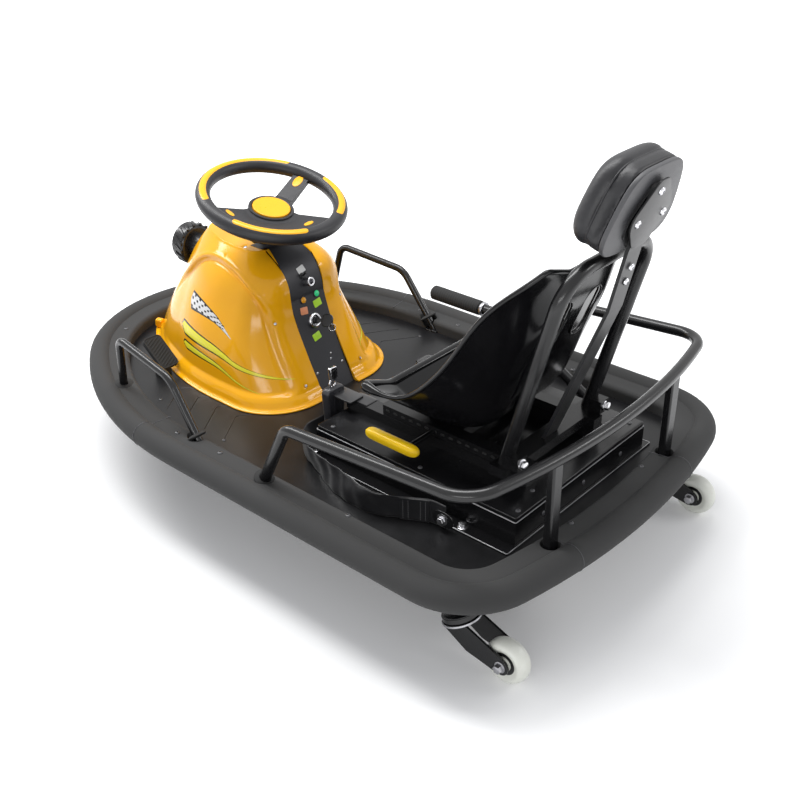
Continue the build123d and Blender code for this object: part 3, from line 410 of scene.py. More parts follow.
LAMP_AMBER = Finish("amber_lamp", (0.8, 0.36, 0.01), (0.65, 0.26, 0.01), 0.18, glow=0.1, depth=0.00001,
                    blotch=0.01)
LIGHT_SHELL = Finish("headlight_shell", (0.007, 0.007, 0.008), (0.012, 0.012, 0.013), 0.26, 0.06,
                     depth=0.00001, shine=0.4)
LENS = Finish("clear_lens", (0.95, 0.96, 0.97), (0.9, 0.92, 0.94), 0.05, 0.02, relief=Pattern.PLAIN,
              clear=0.9)
PEDAL = Finish("pedal_rubber", (0.009, 0.009, 0.01), (0.015, 0.015, 0.017), 0.5, 0.08, 0.2, depth=0.00003,
               shine=0.35)
SEAT = Finish("seat_gloss_black", (0.004, 0.004, 0.0045), (0.007, 0.007, 0.008), 0.13, 0.04, 0.1, size=0.004,
              depth=0.000004, blotch=0.15, shine=0.3)
VINYL = Finish("headrest_vinyl", (0.014, 0.014, 0.016), (0.024, 0.024, 0.027), 0.42, 0.06, size=0.0016,
               depth=0.00006, blotch=0.05, shine=0.4)
BOARD = Finish("headrest_board", (0.065, 0.065, 0.069), (0.085, 0.085, 0.09), 0.45, 0.06, 0.2, size=0.0012,
               depth=0.00005, blotch=0.03)
BAR_PAINT = Finish("headrest_bar_paint", (0.014, 0.014, 0.015), (0.022, 0.022, 0.023), 0.36, 0.06, 0.25,
                   size=0.0012, depth=0.00001, blotch=0.05)
YELLOW = Finish("yellow_moulding", (0.93, 0.43, 0.008), (0.95, 0.47, 0.012), 0.3, 0.05, size=0.002,
                depth=0.00002, blotch=0.04, shine=0.35)
GRIP_YELLOW = Finish("yellow_grip", (0.98, 0.6, 0.008), (0.98, 0.64, 0.012), 0.26, 0.04, size=0.003,
                     depth=0.00001, blotch=0.04, shine=0.35)
CHECK_WHITE = Finish("stripe_white", (0.8, 0.8, 0.8), (0.74, 0.74, 0.75), 0.25, 0.03, depth=0.00001,
                     blotch=0.03)
STRIPE_BLACK = Finish("stripe_black", (0.008, 0.008, 0.008), (0.012, 0.012, 0.012), 0.22, 0.03, depth=0.00001,
                      shine=0.3)
STRIPE_YELLOW = Finish("stripe_yellow", (0.9, 0.82, 0.03), (0.92, 0.86, 0.05), 0.22, 0.03, depth=0.00001,
                       shine=0.3)
TAG_WHITE = Finish("tag_white", (0.8, 0.8, 0.78), (0.7, 0.7, 0.68), 0.4, 0.04, 0.1, depth=0.00001,
                   blotch=0.006)
TAG_LIME = Finish("tag_lime", (0.52, 0.86, 0.03), (0.47, 0.8, 0.03), 0.4, 0.04, 0.1, depth=0.00001,
                  blotch=0.006)
TAG_CORAL = Finish("tag_coral", (0.9, 0.34, 0.16), (0.82, 0.3, 0.14), 0.4, 0.04, 0.1, depth=0.00001,
                   blotch=0.006)
THREAD = Finish("stitch_thread", (0.16, 0.16, 0.165), (0.22, 0.22, 0.225), 0.6, 0.05, depth=0.00008,
                blotch=0.004)
SEAM = Finish("rubber_seam", (0.05, 0.05, 0.055), (0.08, 0.08, 0.085), 0.5, 0.06, depth=0.00004, blotch=0.02)
# Light grey of the thin lines along the seat box's edges: a painted highlight.
PAINTED_HIGHLIGHT_EDGE = Finish("painted_highlight_edge", (0.4, 0.4, 0.41), (0.16, 0.16, 0.165), 0.3, 0.08, depth=0.00002,
                   blotch=0.03)
CHIP = Finish("light_emitter", (0.85, 0.8, 0.45), (0.8, 0.74, 0.4), 0.3, 0.04, depth=0.00002, blotch=0.003)
GRIP = Finish("grip_rubber", (0.009, 0.009, 0.01), (0.016, 0.016, 0.018), 0.55, 0.06, size=0.0014,
              depth=0.00006, shine=0.35)
RIM = Finish("soft_black_rim", (0.014, 0.014, 0.016), (0.022, 0.022, 0.025), 0.42, 0.06, size=0.0013,
             depth=0.00003, shine=0.4)
TYRE = Finish("tyre_rubber", (0.012, 0.012, 0.013), (0.02, 0.02, 0.021), 0.66, 0.08, 0.25, size=0.0015,
              depth=0.00014, shine=0.35)
CAST = Finish("cast_hub", (0.16, 0.16, 0.17), (0.1, 0.1, 0.11), 0.4, 0.1, size=0.001, depth=0.00005,
              metallic=1.0)
NYLON = Finish("white_nylon", (0.86, 0.87, 0.8), (0.8, 0.81, 0.73), 0.3, 0.08, 0.1, size=0.002, depth=0.00003,
               blotch=0.02)
WEBBING = Finish("belt_webbing", (0.008, 0.008, 0.009), (0.016, 0.016, 0.018), 0.32, 0.05,
                 relief=Pattern.WEAVE, size=0.0024, depth=0.00006, sheen=0.08, coat=0.25, blotch=0.02)
PLASTIC = Finish("black_plastic", (0.008, 0.008, 0.009), (0.013, 0.013, 0.014), 0.32, 0.06, 0.1,
                 depth=0.00001, shine=0.4)
CASE_COVER = Finish("buckle_cover", (0.022, 0.022, 0.026), (0.035, 0.035, 0.04), 0.36, 0.05, size=0.0012,
                    depth=0.00002, blotch=0.02)
CASE = Finish("battery_case", (0.06, 0.06, 0.065), (0.08, 0.08, 0.085), 0.5)

DRESSING: tuple[tuple[Finish, str], ...] = (
    (SHEET, "deck_pan"),
    (POWDER, "chassis_frame foot_hoops rear_rail rear_posts slide_rails steering_head bar_bearings "
             "steering_column drive_fork seat_carriage seat_hoop caster_bar caster_fork_left "
             "caster_fork_right"),
    (RUBBER, "bumper_ring"),
    (ORANGE, "cowl_left cowl_right"),
    (PANEL, "control_panel"),
    (BRIGHT, "key_switch"),
    (ZINC, "charge_socket"),
    (LAMP_GREEN, "indicator_lamps"),
    (LIGHT_SHELL, "headlight_housing"),
    (LENS, "headlight_lens"),
    (PEDAL, "pedals"),
    (BOX_PAINT, "seat_box seat_box_lid"),
    (CASE, "battery"),
    (PLASTIC, "belt_buckle"),
    (WEBBING, "belt_strap_left belt_strap_right"),
    (RIM, "steering_wheel"),
    (YELLOW, "steering_cap"),
    (TYRE, "drive_tyre"),
    (CAST, "drive_motor"),
    (SEAT, "seat_shell"),
    (GRIP_YELLOW, "slide_handle"),
    (BAR_PAINT, "headrest_bar"),
    (BOARD, "headrest_back"),
    (VINYL, "headrest_pad"),
    (GRIP, "lever_grip"),
    (NYLON, "caster_wheel_left caster_wheel_right"),
)


@dataclass
class Surface:
    """Grids of points gathered into one mesh and then placed on a body."""

    name: str
    points: list[np.ndarray] = field(default_factory=list)
    faces: list[list[int]] = field(default_factory=list)
    uvs: list[np.ndarray] = field(default_factory=list)
    count: int = 0

    def grid(self, grid: np.ndarray, wrap_rows: bool = False, wrap_cols: bool = False, caps: bool = False,
             uv_size: tuple[float, float] = (1.0, 1.0)) -> "Surface":
        """Add a sheet of quads through a grid of points.

        Args:
            grid: points, shape (rows, columns, 3).
            wrap_rows: join the last row to the first.
            wrap_cols: join the last column to the first.
            caps: close the first and last rows with one face each.
            uv_size: the sheet's length along rows and along columns, for its UV.

        Returns:
            The surface itself.
        """
        rows, cols = grid.shape[:2]
        index = np.arange(rows * cols).reshape(rows, cols) + self.count
        u = np.arange(rows + wrap_rows)[:, None] * np.ones(cols + wrap_cols) / max(rows - 1 + wrap_rows, 1)
        v = np.arange(cols + wrap_cols)[None, :] * np.ones((rows + wrap_rows, 1))
        v = v / max(cols - 1 + wrap_cols, 1)
        index = np.vstack([index, index[:1]]) if wrap_rows else index
        index = np.hstack([index, index[:, :1]]) if wrap_cols else index
        corner = lambda a: np.stack([a[:-1, :-1], a[:-1, 1:], a[1:, 1:], a[1:, :-1]], -1).reshape(-1, 4)
        self.faces += corner(index).tolist()
        self.uvs.append(np.stack([corner(u) * uv_size[0], corner(v) * uv_size[1]], -1).reshape(-1, 2))
        if caps:
            ring = index[:, :cols]
            self.faces += [ring[0][::-1].tolist(), ring[-1].tolist()]
            self.uvs.append(np.zeros((2 * cols, 2)))
        self.points.append(grid.reshape(-1, 3))
        self.count += rows * cols
        return self

    def closed(self, grid: np.ndarray) -> "Surface":
        """Add a sheet whose columns join and whose end rows are capped."""
        return self.grid(grid, wrap_cols=True, caps=True)

    def build(self, finish: Finish, body: Body, slot: str, replaced: Sequence[str] = (), sharp: float = 40.0,
              outward: bool = True) -> bpy.types.Object:
        """Make the mesh object, finish it and let it ride on a body.

        Args:
            finish: its material.
            body: the body that it moves with.
            slot: the record's material slot; not used.
            replaced: nodes that it stands for.
            sharp: edges that turn by more than this many degrees stay sharp.
            outward: recalculate the normals to face out.

        Returns:
            The object.
        """
        mesh = bpy.data.meshes.new(self.name)
        mesh.from_pydata((np.concatenate(self.points) * MM).tolist(), [], self.faces)
        layer = mesh.uv_layers.new(name="UVMap")
        layer.data.foreach_set("uv", (np.concatenate(self.uvs) * MM).astype(np.float32).ravel())
        if outward:
            shape = bmesh.new()
            shape.from_mesh(mesh)
            bmesh.ops.remove_doubles(shape, verts=shape.verts, dist=1e-7)
            bmesh.ops.recalc_face_normals(shape, faces=shape.faces)
            shape.to_mesh(mesh)
            shape.free()
        mesh.shade_smooth()
        mesh.set_sharp_from_angle(angle=math.radians(sharp))
        mesh.materials.append(finish.material())
        piece = bpy.data.objects.new(self.name, mesh)
        bpy.context.scene.collection.objects.link(piece)
        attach(piece, body.value)
        if replaced:
            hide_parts(*replaced)
        return piece


@dataclass(frozen=True)
class Axes:
    """A local frame: an origin and three unit directions, as arrays."""

    origin: np.ndarray
    x: np.ndarray
    y: np.ndarray
    z: np.ndarray

    @classmethod
    def facing(cls, origin: Sequence[float], z: Sequence[float],
               x: Sequence[float] = (1.0, 0.0, 0.0)) -> "Axes":
        """Make a frame whose z points along one direction and whose x lies near another."""
        up = np.asarray(z, float) / np.linalg.norm(z)
        side = np.asarray(x, float) - up * np.dot(x, up)
        side = side / np.linalg.norm(side)
        return cls(np.asarray(origin, float), side, np.cross(up, side), up)

    def at(self, x: Values, y: Values, z: Values) -> np.ndarray:
        """Turn local coordinates, arrays or numbers, into points."""
        x, y, z = np.broadcast_arrays(np.asarray(x, float), np.asarray(y, float), np.asarray(z, float))
        return self.origin + x[..., None] * self.x + y[..., None] * self.y + z[..., None] * self.z

    def lifted(self, height: float) -> "Axes":
        """The same frame, moved along its z."""
        return Axes(self.origin + height * self.z, self.x, self.y, self.z)


def lathe(axes: Axes, radius: Sequence[float], height: Sequence[float], steps: int = 48) -> np.ndarray:
    """Revolve a profile: each row is a circle of one radius at one height about the frame's z."""
    angle = np.linspace(0.0, TAU, steps, endpoint=False)
    r = np.asarray(radius, float)[:, None]
    return axes.at(r * np.cos(angle), r * np.sin(angle), np.asarray(height, float)[:, None])


def rounded_rectangle(width: float, height: float, corner: float, steps: int = 8) -> np.ndarray:
    """Outline of a rounded rectangle: one circle cut in four, each quarter moved out to its own corner."""
    turn = np.linspace(0.0, math.pi / 2, steps)[None] + np.arange(4)[:, None] * math.pi / 2
    side = np.array([[1, 1], [-1, 1], [-1, -1], [1, -1]]) * (width / 2 - corner, height / 2 - corner)
    return (side[:, None] + corner * np.stack([np.cos(turn), np.sin(turn)], -1)).reshape(-1, 2)


def oval(width: float, height: float, steps: int = 40, power: float = 2.0) -> np.ndarray:
    """Outline of a superellipse: cosine and sine raised to two over the power, keeping their signs."""
    angle = np.linspace(0.0, TAU, steps, endpoint=False)
    c, s = np.cos(angle), np.sin(angle)
    e = 2.0 / power
    return np.stack([np.sign(c) * np.abs(c) ** e * width / 2, np.sign(s) * np.abs(s) ** e * height / 2], -1)


def slab(axes: Axes, outline: np.ndarray, thickness: float, edge: float, crown: float = 0.0) -> np.ndarray:
    """A plate with rounded upper and lower edges.

    Rows run up the plate: the outline is drawn in towards its middle by the edge radius times one minus the
    sine of a quarter turn, while the height follows the cosine.

    Args:
        axes: its place, with z up through the plate.
        outline: points of its outline, shape (count, 2).
        thickness: height of the plate.
        edge: radius of its edges.
        crown: how far the middle of the top is lifted.

    Returns:
        Points for a closed grid.
    """
    turn = np.linspace(0.0, math.pi / 2, 5)
    inset = np.concatenate([edge * (1 - np.sin(turn)), edge * (1 - np.sin(turn[::-1]))])
    height = np.concatenate([edge * (1 - np.cos(turn)), thickness - edge * (1 - np.cos(turn[::-1]))])
    centre = outline.mean(0)
    reach = np.linalg.norm(outline - centre, axis=1).max()
    scale = 1 - inset / max(reach, 1e-9)
    if crown:
        extra = np.array([0.8, 0.6, 0.4, 0.2, 0.05])
        height = np.concatenate([height, thickness + crown * (1 - extra**2)])
        scale = np.concatenate([scale, scale[-1] * extra])
    xy = centre + (outline - centre)[None] * scale[:, None, None]
    return axes.at(xy[..., 0], xy[..., 1], height[:, None])


def tube(path: np.ndarray, radius: float, side: Sequence[float], steps: int = 20,
         closed: bool = False) -> np.ndarray:
    """Carry a circle along a path: each ring lies across it, turned from a fixed side vector.

    Args:
        path: points of the path.
        radius: radius of the circle.
        side: a direction that the path never takes.
        steps: points round the circle.
        closed: the path ends where it starts.

    Returns:
        Points for a grid with its columns joined.
    """
    ahead = np.roll(path, -1, 0) - np.roll(path, 1, 0) if closed else np.gradient(path, axis=0)
    ahead = ahead / np.linalg.norm(ahead, axis=1, keepdims=True)
    across = np.cross(ahead, np.asarray(side, float))
    across = across / np.linalg.norm(across, axis=1, keepdims=True)
    other = np.cross(ahead, across)
    angle = np.linspace(0.0, TAU, steps, endpoint=False)
    ring = np.cos(angle)[None, :, None] * across[:, None] + np.sin(angle)[None, :, None] * other[:, None]
    return path[:, None] + radius * ring


def spline(at: np.ndarray, knots: np.ndarray, values: np.ndarray) -> np.ndarray:
    """Natural cubic spline: second derivatives from the three-term system, then the cubic of each span.

    Args:
        at: places to read it at.
        knots: places of the given values, rising.
        values: the given values.

    Returns:
        Its value at each place.
    """
    knots, values = np.asarray(knots, float), np.asarray(values, float)
    step = np.diff(knots)
    size = len(knots)
    system = np.eye(size)
    inner = np.arange(1, size - 1)
    system[inner, inner - 1] = step[:-1]
    system[inner, inner] = 2 * (step[:-1] + step[1:])
    system[inner, inner + 1] = step[1:]
    slope = np.diff(values) / step
    right = np.zeros(size)
    right[1:-1] = 6 * np.diff(slope)
    bend = np.linalg.solve(system, right)
    span = np.clip(np.searchsorted(knots, at) - 1, 0, size - 2)
    h, t = step[span], np.asarray(at, float) - knots[span]
    linear = slope[span] - h * (2 * bend[span] + bend[span + 1]) / 6
    return values[span] + linear * t + bend[span] / 2 * t**2 + (bend[span + 1] - bend[span]) / (6 * h) * t**3


def bolt(surface: Surface, axes: Axes, size: float, washer: float = 0.0) -> None:
    """Add a hexagon head with a domed top, and a washer under it, standing on a frame's plane.

    Args:
        surface: the surface that takes the bolt.
        axes: its place, with z along the shank.
        size: width across the head.
        washer: radius of the washer, or 0 for none.
    """
    rise = 0.0
    if washer:
        surface.closed(lathe(axes, (washer, washer, washer * 0.92, 0.1), (-0.4, 1.2, 1.6, 1.6), 28))
        rise = 1.6
    angle = np.linspace(0.0, TAU, 6, endpoint=False)
    scale = np.array([1.0, 1.0, 0.93, 0.6, 0.02])[:, None] * size / 2 * 1.15
    height = np.array([-0.4 / size, 0.5, 0.6, 0.66, 0.68])[:, None] * size + rise
    surface.closed(axes.at(scale * np.cos(angle), scale * np.sin(angle), height))


def dome_screw(surface: Surface, axes: Axes, radius: float) -> None:
    """Add a low domed screw head with a round socket sunk in its middle."""
    turn = np.linspace(0.0, 1.2, 7)
    ring = np.concatenate([[radius], radius * np.cos(turn), [0.36 * radius, 0.34 * radius, 0.02]])
    high = np.concatenate([[-0.4], 0.55 * radius * np.sin(turn),
                           [0.5 * radius, 0.12 * radius, 0.12 * radius]])
    surface.closed(lathe(axes, ring, high, 20))


def pillow(skin: Callable, along: np.ndarray, reach: np.ndarray, lift: float, sink: float = 0.6,
           steps: int = 9) -> np.ndarray:
    """A raised patch on a curved skin, closed underneath.

    Each row is one place along the patch. It runs across from edge to edge at a height that falls off steeply
    near the edges, and comes back under the skin.

    Args:
        skin: gives points from place along, place across and height above the skin.
        along: places along the patch.
        reach: half width of the patch at each of those places.
        lift: height in the middle.
        sink: depth of the underside below the skin.
        steps: points across.

    Returns:
        Points for a grid with its columns joined and its ends capped.
    """
    cross = np.linspace(-1.0, 1.0, steps)
    high = np.sqrt(1.0 - np.abs(cross) ** 6) * lift
    place = np.concatenate([cross, cross[::-1]])
    rise = np.concatenate([high, np.full(steps, -sink)])
    ends = np.sqrt(1.0 - np.abs(np.linspace(-1.0, 1.0, len(along))) ** 8)
    rise = np.where(rise > 0, rise * ends[:, None], rise)
    return skin(along[:, None] + 0.0 * place, reach[:, None] * place, rise)


def stadium(length: float, width: float, steps: int) -> tuple[np.ndarray, np.ndarray]:
    """Places along a round-ended strip, and its half width at each: a quarter circle at each end."""
    place = -np.cos(np.linspace(0.0, math.pi, steps)) * length / 2
    over = np.maximum(np.abs(place) - (length / 2 - width / 2), 0.0)
    return place, np.sqrt(np.maximum((width / 2) ** 2 - over**2, (0.02 * width) ** 2))


def smooth(value: np.ndarray) -> np.ndarray:
    """Ease from 0 to 1 as the value does, with level ends."""
    t = np.clip(value, 0.0, 1.0)
    return t * t * (3.0 - 2.0 * t)


def rounded_path(points: Sequence[Sequence[float]], radius: float, spacing: float = 4.0) -> np.ndarray:
    """A path through corner points with its corners cut round.

    Each corner becomes a curve between the two places one radius away from it, blended by the squares of the
    two distances; the whole is then stepped out evenly.

    Args:
        points: the corners.
        radius: how far from a corner its curve starts.
        spacing: length of one step.

    Returns:
        Points of the path.
    """
    corners = np.asarray(points, float)
    pieces = [corners[:1]]
    share = np.linspace(0.0, 1.0, 9)[:, None]
    for before, here, after in zip(corners[:-2], corners[1:-1], corners[2:]):
        back, ahead = before - here, after - here
        cut = min(radius, 0.49 * np.linalg.norm(back), 0.49 * np.linalg.norm(ahead))
        start = here + back / np.linalg.norm(back) * cut
        end = here + ahead / np.linalg.norm(ahead) * cut
        pieces.append((1 - share) ** 2 * start + 2 * share * (1 - share) * here + share**2 * end)
    pieces.append(corners[-1:])
    line = np.concatenate(pieces)
    run = np.concatenate([[0.0], np.cumsum(np.linalg.norm(np.diff(line, axis=0), axis=1))])
    even = np.linspace(0.0, run[-1], max(int(run[-1] / spacing), 4))
    return np.stack([np.interp(even, run, line[:, k]) for k in range(line.shape[1])], -1)


@dataclass(frozen=True)
class Cowl:
    """The glossy shell in two halves: hollow, with an arched recess, soft grooves, a flange and stripes.

    Args:
        rows: height, nose y, nose radius, half width, corner radius and rear y of each section.
        wall: thickness of the shell.
        flange: reach of the foot flange; not used.
        slot: half width of the opening for the panel.
        hole: radius of the column's hole and its place.
        arch: y and z of points along the edge of the recess, from the nose to the rear foot.
        recess: depth of the recess.
        screws: x, y, z and radius of the sunk screws.
    """

    rows: tuple = (
        (168.0, -575.0, 85.0, 185.0, 110.0, -45.0),
        (260.0, -523.0, 80.0, 166.0, 95.0, -93.0),
        (350.0, -463.0, 70.0, 132.0, 72.0, -124.0),
        (412.0, -420.0, 58.0, 101.0, 52.0, -146.0),
        (442.0, -394.0, 42.0, 68.0, 32.0, -188.0),
    )
    wall: float = 3.0
    flange: float = 12.0
    slot: float = 46.0
    hole: tuple = (34.0, -232.9)
    arch: tuple = (
        (-452, 300), (-430, 330), (-390, 364.5), (-350, 398), (-303, 415), (-254, 415), (-201, 403), (-166,
        386),
        (-144, 361), (-128, 322), (-111, 283), (-92, 247), (-73, 212), (-62, 188), (-52, 160),
    )
    recess: float = 7.5
    screws: tuple = ((56.4, -237.8, 444.0, 6.0), (93.2, -123.1, 321.9, 5.0), (80.6, -58.3, 200.0, 5.0),
                     (86.3, -266.0, 427.7, 3.0))

    def plan(self, share: np.ndarray, height: np.ndarray, grow: np.ndarray) -> np.ndarray:
        """Point on a section: nose arc, flank arc, flank line, rear corner and flat rear.

        Args:
            share: 0 at the nose's middle, 1 at the panel's edge.
            height: height of the section.
            grow: distance outside the section.

        Returns:
            Points of the +X half.
        """
        share, height, grow = np.broadcast_arrays(share, height, grow)
        table = np.array(self.rows)
        level = np.clip(height, table[0, 0], table[-1, 0])
        nose_y, nose_r, half, corner, rear = (spline(level, table[:, 0], table[:, k]) for k in range(1, 6))
        centre = nose_y + nose_r
        flank_y = rear - 170.0 * half / 185.0
        flank_r = (half**2 + (flank_y - centre) ** 2 - nose_r**2) / (2.0 * (half - nose_r))
        turn = np.arctan2(centre - flank_y, flank_r - half)
        stops = (0.0, 0.2, 0.6, 0.72, 0.92, 1.0)
        part = [np.clip((share - a) / (b - a), 0.0, 1.0) for a, b in zip(stops[:-1], stops[1:])]
        nose = -math.pi / 2 + (math.pi / 2 + turn) * part[0]
        flank = turn * (1.0 - part[1])
        bend = math.pi / 2 * part[3]
        spots = (
            ((nose_r + grow) * np.cos(nose), centre + (nose_r + grow) * np.sin(nose)),
            (half - flank_r + (flank_r + grow) * np.cos(flank), flank_y + (flank_r + grow) * np.sin(flank)),
            (half + grow, flank_y + (rear - corner - flank_y) * part[2]),
            (half - corner + (corner + grow) * np.cos(bend), rear - corner + (corner + grow) * np.sin(bend)),
            ((half - corner) * (1.0 - part[4]) + self.slot * part[4], rear + grow),
        )
        choice = [share <= stop for stop in stops[1:-1]]
        x = np.select(choice, [np.broadcast_to(s[0], share.shape) for s in spots[:4]], spots[4][0])
        y = np.select(choice, [np.broadcast_to(s[1], share.shape) for s in spots[:4]], spots[4][1])
        return np.stack([x, y, height], -1)

    def relief(self, point: np.ndarray) -> np.ndarray:
        """Height of the moulded relief: the recess eases in across its arched edge, with grooves along it.

        Args:
            point: points on the plain section.

        Returns:
            The height at each, below zero where the shell is pressed in.
        """
        knots = np.array(self.arch, float)
        at = np.linspace(0, len(knots) - 1, 160)
        line = np.stack([spline(at, np.arange(len(knots)), knots[:, k]) for k in range(2)], -1)
        flat = point.reshape(-1, 3)[:, 1:]
        start, step = line[:-1], np.diff(line, axis=0)
        away = flat[:, None] - start[None]
        t = np.clip((away * step).sum(-1) / (step**2).sum(-1), 0.0, 1.0)
        gap = away - t[..., None] * step
        reach = np.sqrt((gap**2).sum(-1))
        near = reach.argmin(1)
        pick = np.arange(len(flat))
        side = step[near, 0] * gap[pick, near, 1] - step[near, 1] * gap[pick, near, 0]
        inside = -np.sign(side) * reach[pick, near]
        y, z = flat.T
        front = smooth((y + 480.0) / 90.0)
        foot = smooth((z - 186.0) / 14.0)
        depth = self.recess * smooth((inside + 3.0) / 5.5) * front * foot
        depth += 1.6 * np.exp(-(((inside - 4.5) / 2.2) ** 2)) * front * foot
        depth -= 1.2 * np.exp(-(((inside + 5.5) / 2.4) ** 2)) * front * foot
        low = smooth((350.0 - z) / 70.0) * foot * (y > -260.0)
        depth += 3.4 * np.exp(-(((inside + 13.0) / 3.0) ** 2)) * low
        depth += 3.0 * np.exp(-(((inside + 24.0) / 3.0) ** 2)) * low
        for x0, y0, z0, radius in self.screws:
            away2 = (np.abs(point.reshape(-1, 3)[:, 0]) - x0) ** 2 + (y - y0) ** 2 + (z - z0) ** 2
            depth += 2.4 * np.exp(-((away2 / radius**2) ** 2))
        return -depth.reshape(point.shape[:-1])

    def skin(self, share: Values, height: Values, lift: Values) -> np.ndarray:
        """Point on the moulded outside, raised along the surface's normal.

        Args:
            share: 0 at the nose's middle, 1 at the panel's edge.
            height: height of the section.
            lift: height above the outside.

        Returns:
            Points of the +X half.
        """
        share, height, lift = np.broadcast_arrays(share, height, lift)
        point = self.plan(share, height, 0.0)
        ahead = self.plan(np.minimum(share + 0.002, 1.0), height, 0.0) - self.plan(share - 0.002, height, 0.0)
        rise = self.plan(share, height + 0.5, 0.0) - self.plan(share, height - 0.5, 0.0)
        normal = np.cross(ahead, rise)
        normal = normal / np.linalg.norm(normal, axis=-1, keepdims=True)
        return point + normal * (self.relief(point) + lift)[..., None]

    def half(self, name: str, side: int) -> bpy.types.Object:
        """Build one half.

        Each column goes once round the wall: from the flange up the outside, over the top to the column's
        hole, and down the inside.

        Args:
            name: name of the node that it replaces.
            side: 1 for the left half, -1 for the right one.

        Returns:
            The object.
        """
        share = np.concatenate([np.linspace(0.0, 0.2, 22), np.linspace(0.2, 0.6, 70)[1:],
                                np.linspace(0.6, 0.92, 84)[1:], np.linspace(0.92, 1.0, 8)[1:]])[:, None]
        foot = np.array([(165.2, 11.2), (166.0, 12.0), (167.4, 12.0), (168.4, 11.2), (169.0, 6.5),
                         (170.4, 4.2), (174.0, 3.4), (180.0, 3.0), (183.5, 1.8), (186.5, 0.4)])
        wall = np.linspace(189.0, 441.5, 150)
        bend = np.linspace(0.7, math.pi / 2, 6)
        outer = self.plan(share, foot[:, 0], foot[:, 1])
        outer[..., 2] = foot[:, 0]
        skin = self.skin(share, wall, 0.0)
        top = self.plan(share, np.full(6, 442.0), -3.0 * (1.0 - np.cos(bend)))
        top[..., 2] = 441.5 + 3.0 * np.sin(bend)
        radius, hole_y = self.hole
        turn = np.clip(share[:, 0] / 0.86, 0.0, 1.0) * math.pi / 2 - math.pi / 2
        rest = np.clip((share[:, 0] - 0.86) / 0.14, 0.0, 1.0)
        mouth = np.stack([radius * np.cos(turn) + (self.slot - radius) * rest,
                          hole_y + radius * np.sin(turn) + 3 * rest, np.full(len(turn), 444.5)], -1)[:, None]
        blend = np.linspace(0.0, 1.0, 8)[1:, None]
        plate = top[:, -1:] * (1 - blend) + mouth * blend
        plate[..., 2] += self.relief(plate)
        under = plate[:, ::-1] - (0.0, 0.0, self.wall)
        inner = self.skin(share, wall[::-1], -self.wall)
        last = self.plan(share, np.array([180.0, 166.0]), -self.wall)
        last[..., 2] = (180.0, 165.2)
        loop = np.concatenate([outer, skin, top, plate, under, inner, last], axis=1) * (side, 1.0, 1.0)
        surface = Surface(name + "_shell").closed(loop)
        return surface.build(ORANGE, Body.CHASSIS, "cowl_orange", (name,), sharp=50.0)

    def stripes(self, side: int) -> None:
        """Lay two tapering stripes on the flank over dark borders, and a chequered band above them.

        Args:
            side: 1 for the left half, -1 for the right one.
        """
        bands = (
            (0.42, 0.90, 264.0, 216.0, 25.0, STRIPE_YELLOW),
            (0.45, 0.80, 232.0, 196.0, 14.0, STRIPE_YELLOW),
            (0.42, 0.72, 322.0, 288.0, 31.0, CHECK_WHITE),
        )
        edge = "left" if side > 0 else "right"
        for row, (start, end, high, low, width, finish) in enumerate(bands):
            for name, swell, lift, paint in (("border", 2.6, 0.25, STRIPE_BLACK), ("fill", 0.0, 0.5, finish)):
                at = np.linspace(0.0, 1.0, 60)
                share = start + (end - start) * at
                middle = high + (low - high) * at + 12.0 * np.sin(at * math.pi)
                reach = width / 2 * (1.0 - at) ** 0.75 * smooth(at / 0.05 + 0.12) + swell * (1.02 - at)
                sheet = lambda a, b, h, m=middle: self.skin(a - b * 0.0010, m[:, None] + b, h)
                grid = pillow(sheet, share, reach, lift, 0.3, 9) * (side, 1.0, 1.0)
                surface = Surface(f"stripe_{row}_{name}_{edge}").closed(grid)
                surface.build(paint, Body.CHASSIS, "cowl_orange")
        start, end, high, low, width, _ = bands[2]
        blocks = Surface(f"stripe_blocks_{edge}")
        for column in range(12):
            at = (column + 0.8) / 15.0
            share = start + (end - start) * at
            middle = high + (low - high) * at + 12.0 * math.sin(at * math.pi)
            tall = width * (1.0 - at) ** 0.75 / 4.0
            for row in range(4):
                if (row + column) % 2:
                    continue
                high_row = middle + (row - 1.5) * tall

                def sheet(a: Values, b: Values, h: Values) -> np.ndarray:
                    """The flank round this block, slanted as the band is."""
                    return self.skin(share + a * 0.0016 - (b + high_row - middle) * 0.001, high_row + b, h)

                blocks.closed(pillow(sheet, np.linspace(-6.0, 6.0, 6), np.full(6, tall / 2), 0.65, 0.0, 5)
                              * (side, 1.0, 1.0))
        blocks.build(STRIPE_BLACK, Body.CHASSIS, "cowl_orange")
        lug = Surface(f"nose_lug_{edge}")
        axes = Axes.facing((62.0, -549.0, 180.0), (0.42, -0.9, 0.1), (0.0, 0.0, 1.0))
        lug.closed(slab(axes.lifted(-6.0), rounded_rectangle(20.0, 15.0, 5.0), 17.0, 3.5) * (side, 1.0, 1.0))
        lug.build(ORANGE, Body.CHASSIS, "cowl_orange")

    def build(self) -> None:
        """Build both halves with their screws and stripes."""
        for name, side in (("cowl_left", 1), ("cowl_right", -1)):
            self.half(name, side)
            self.stripes(side)
            screws = Surface(name + "_screws")
            for x, y, z, radius in self.screws[:3]:
                facing = (0.3, 0.0, 1.0) if z > 430.0 else (0.72, 0.55, 0.42)
                axes = Axes.facing((x, y, z), facing, (0.0, 0.0, 1.0) if z < 430.0 else (1.0, 0.0, 0.0))
                moved = Axes((axes.origin - 1.9 * axes.z), axes.x, axes.y, axes.z)
                grid = lathe(moved, (0.6 * radius, 0.6 * radius, 0.45 * radius, 0.1), (-0.5, 0.7, 1.3, 1.5),
                             18)
                screws.closed(grid * (side, 1.0, 1.0))
            screws.build(ZINC, Body.CHASSIS, "bright_metal")
        LOG.info("cowl built")


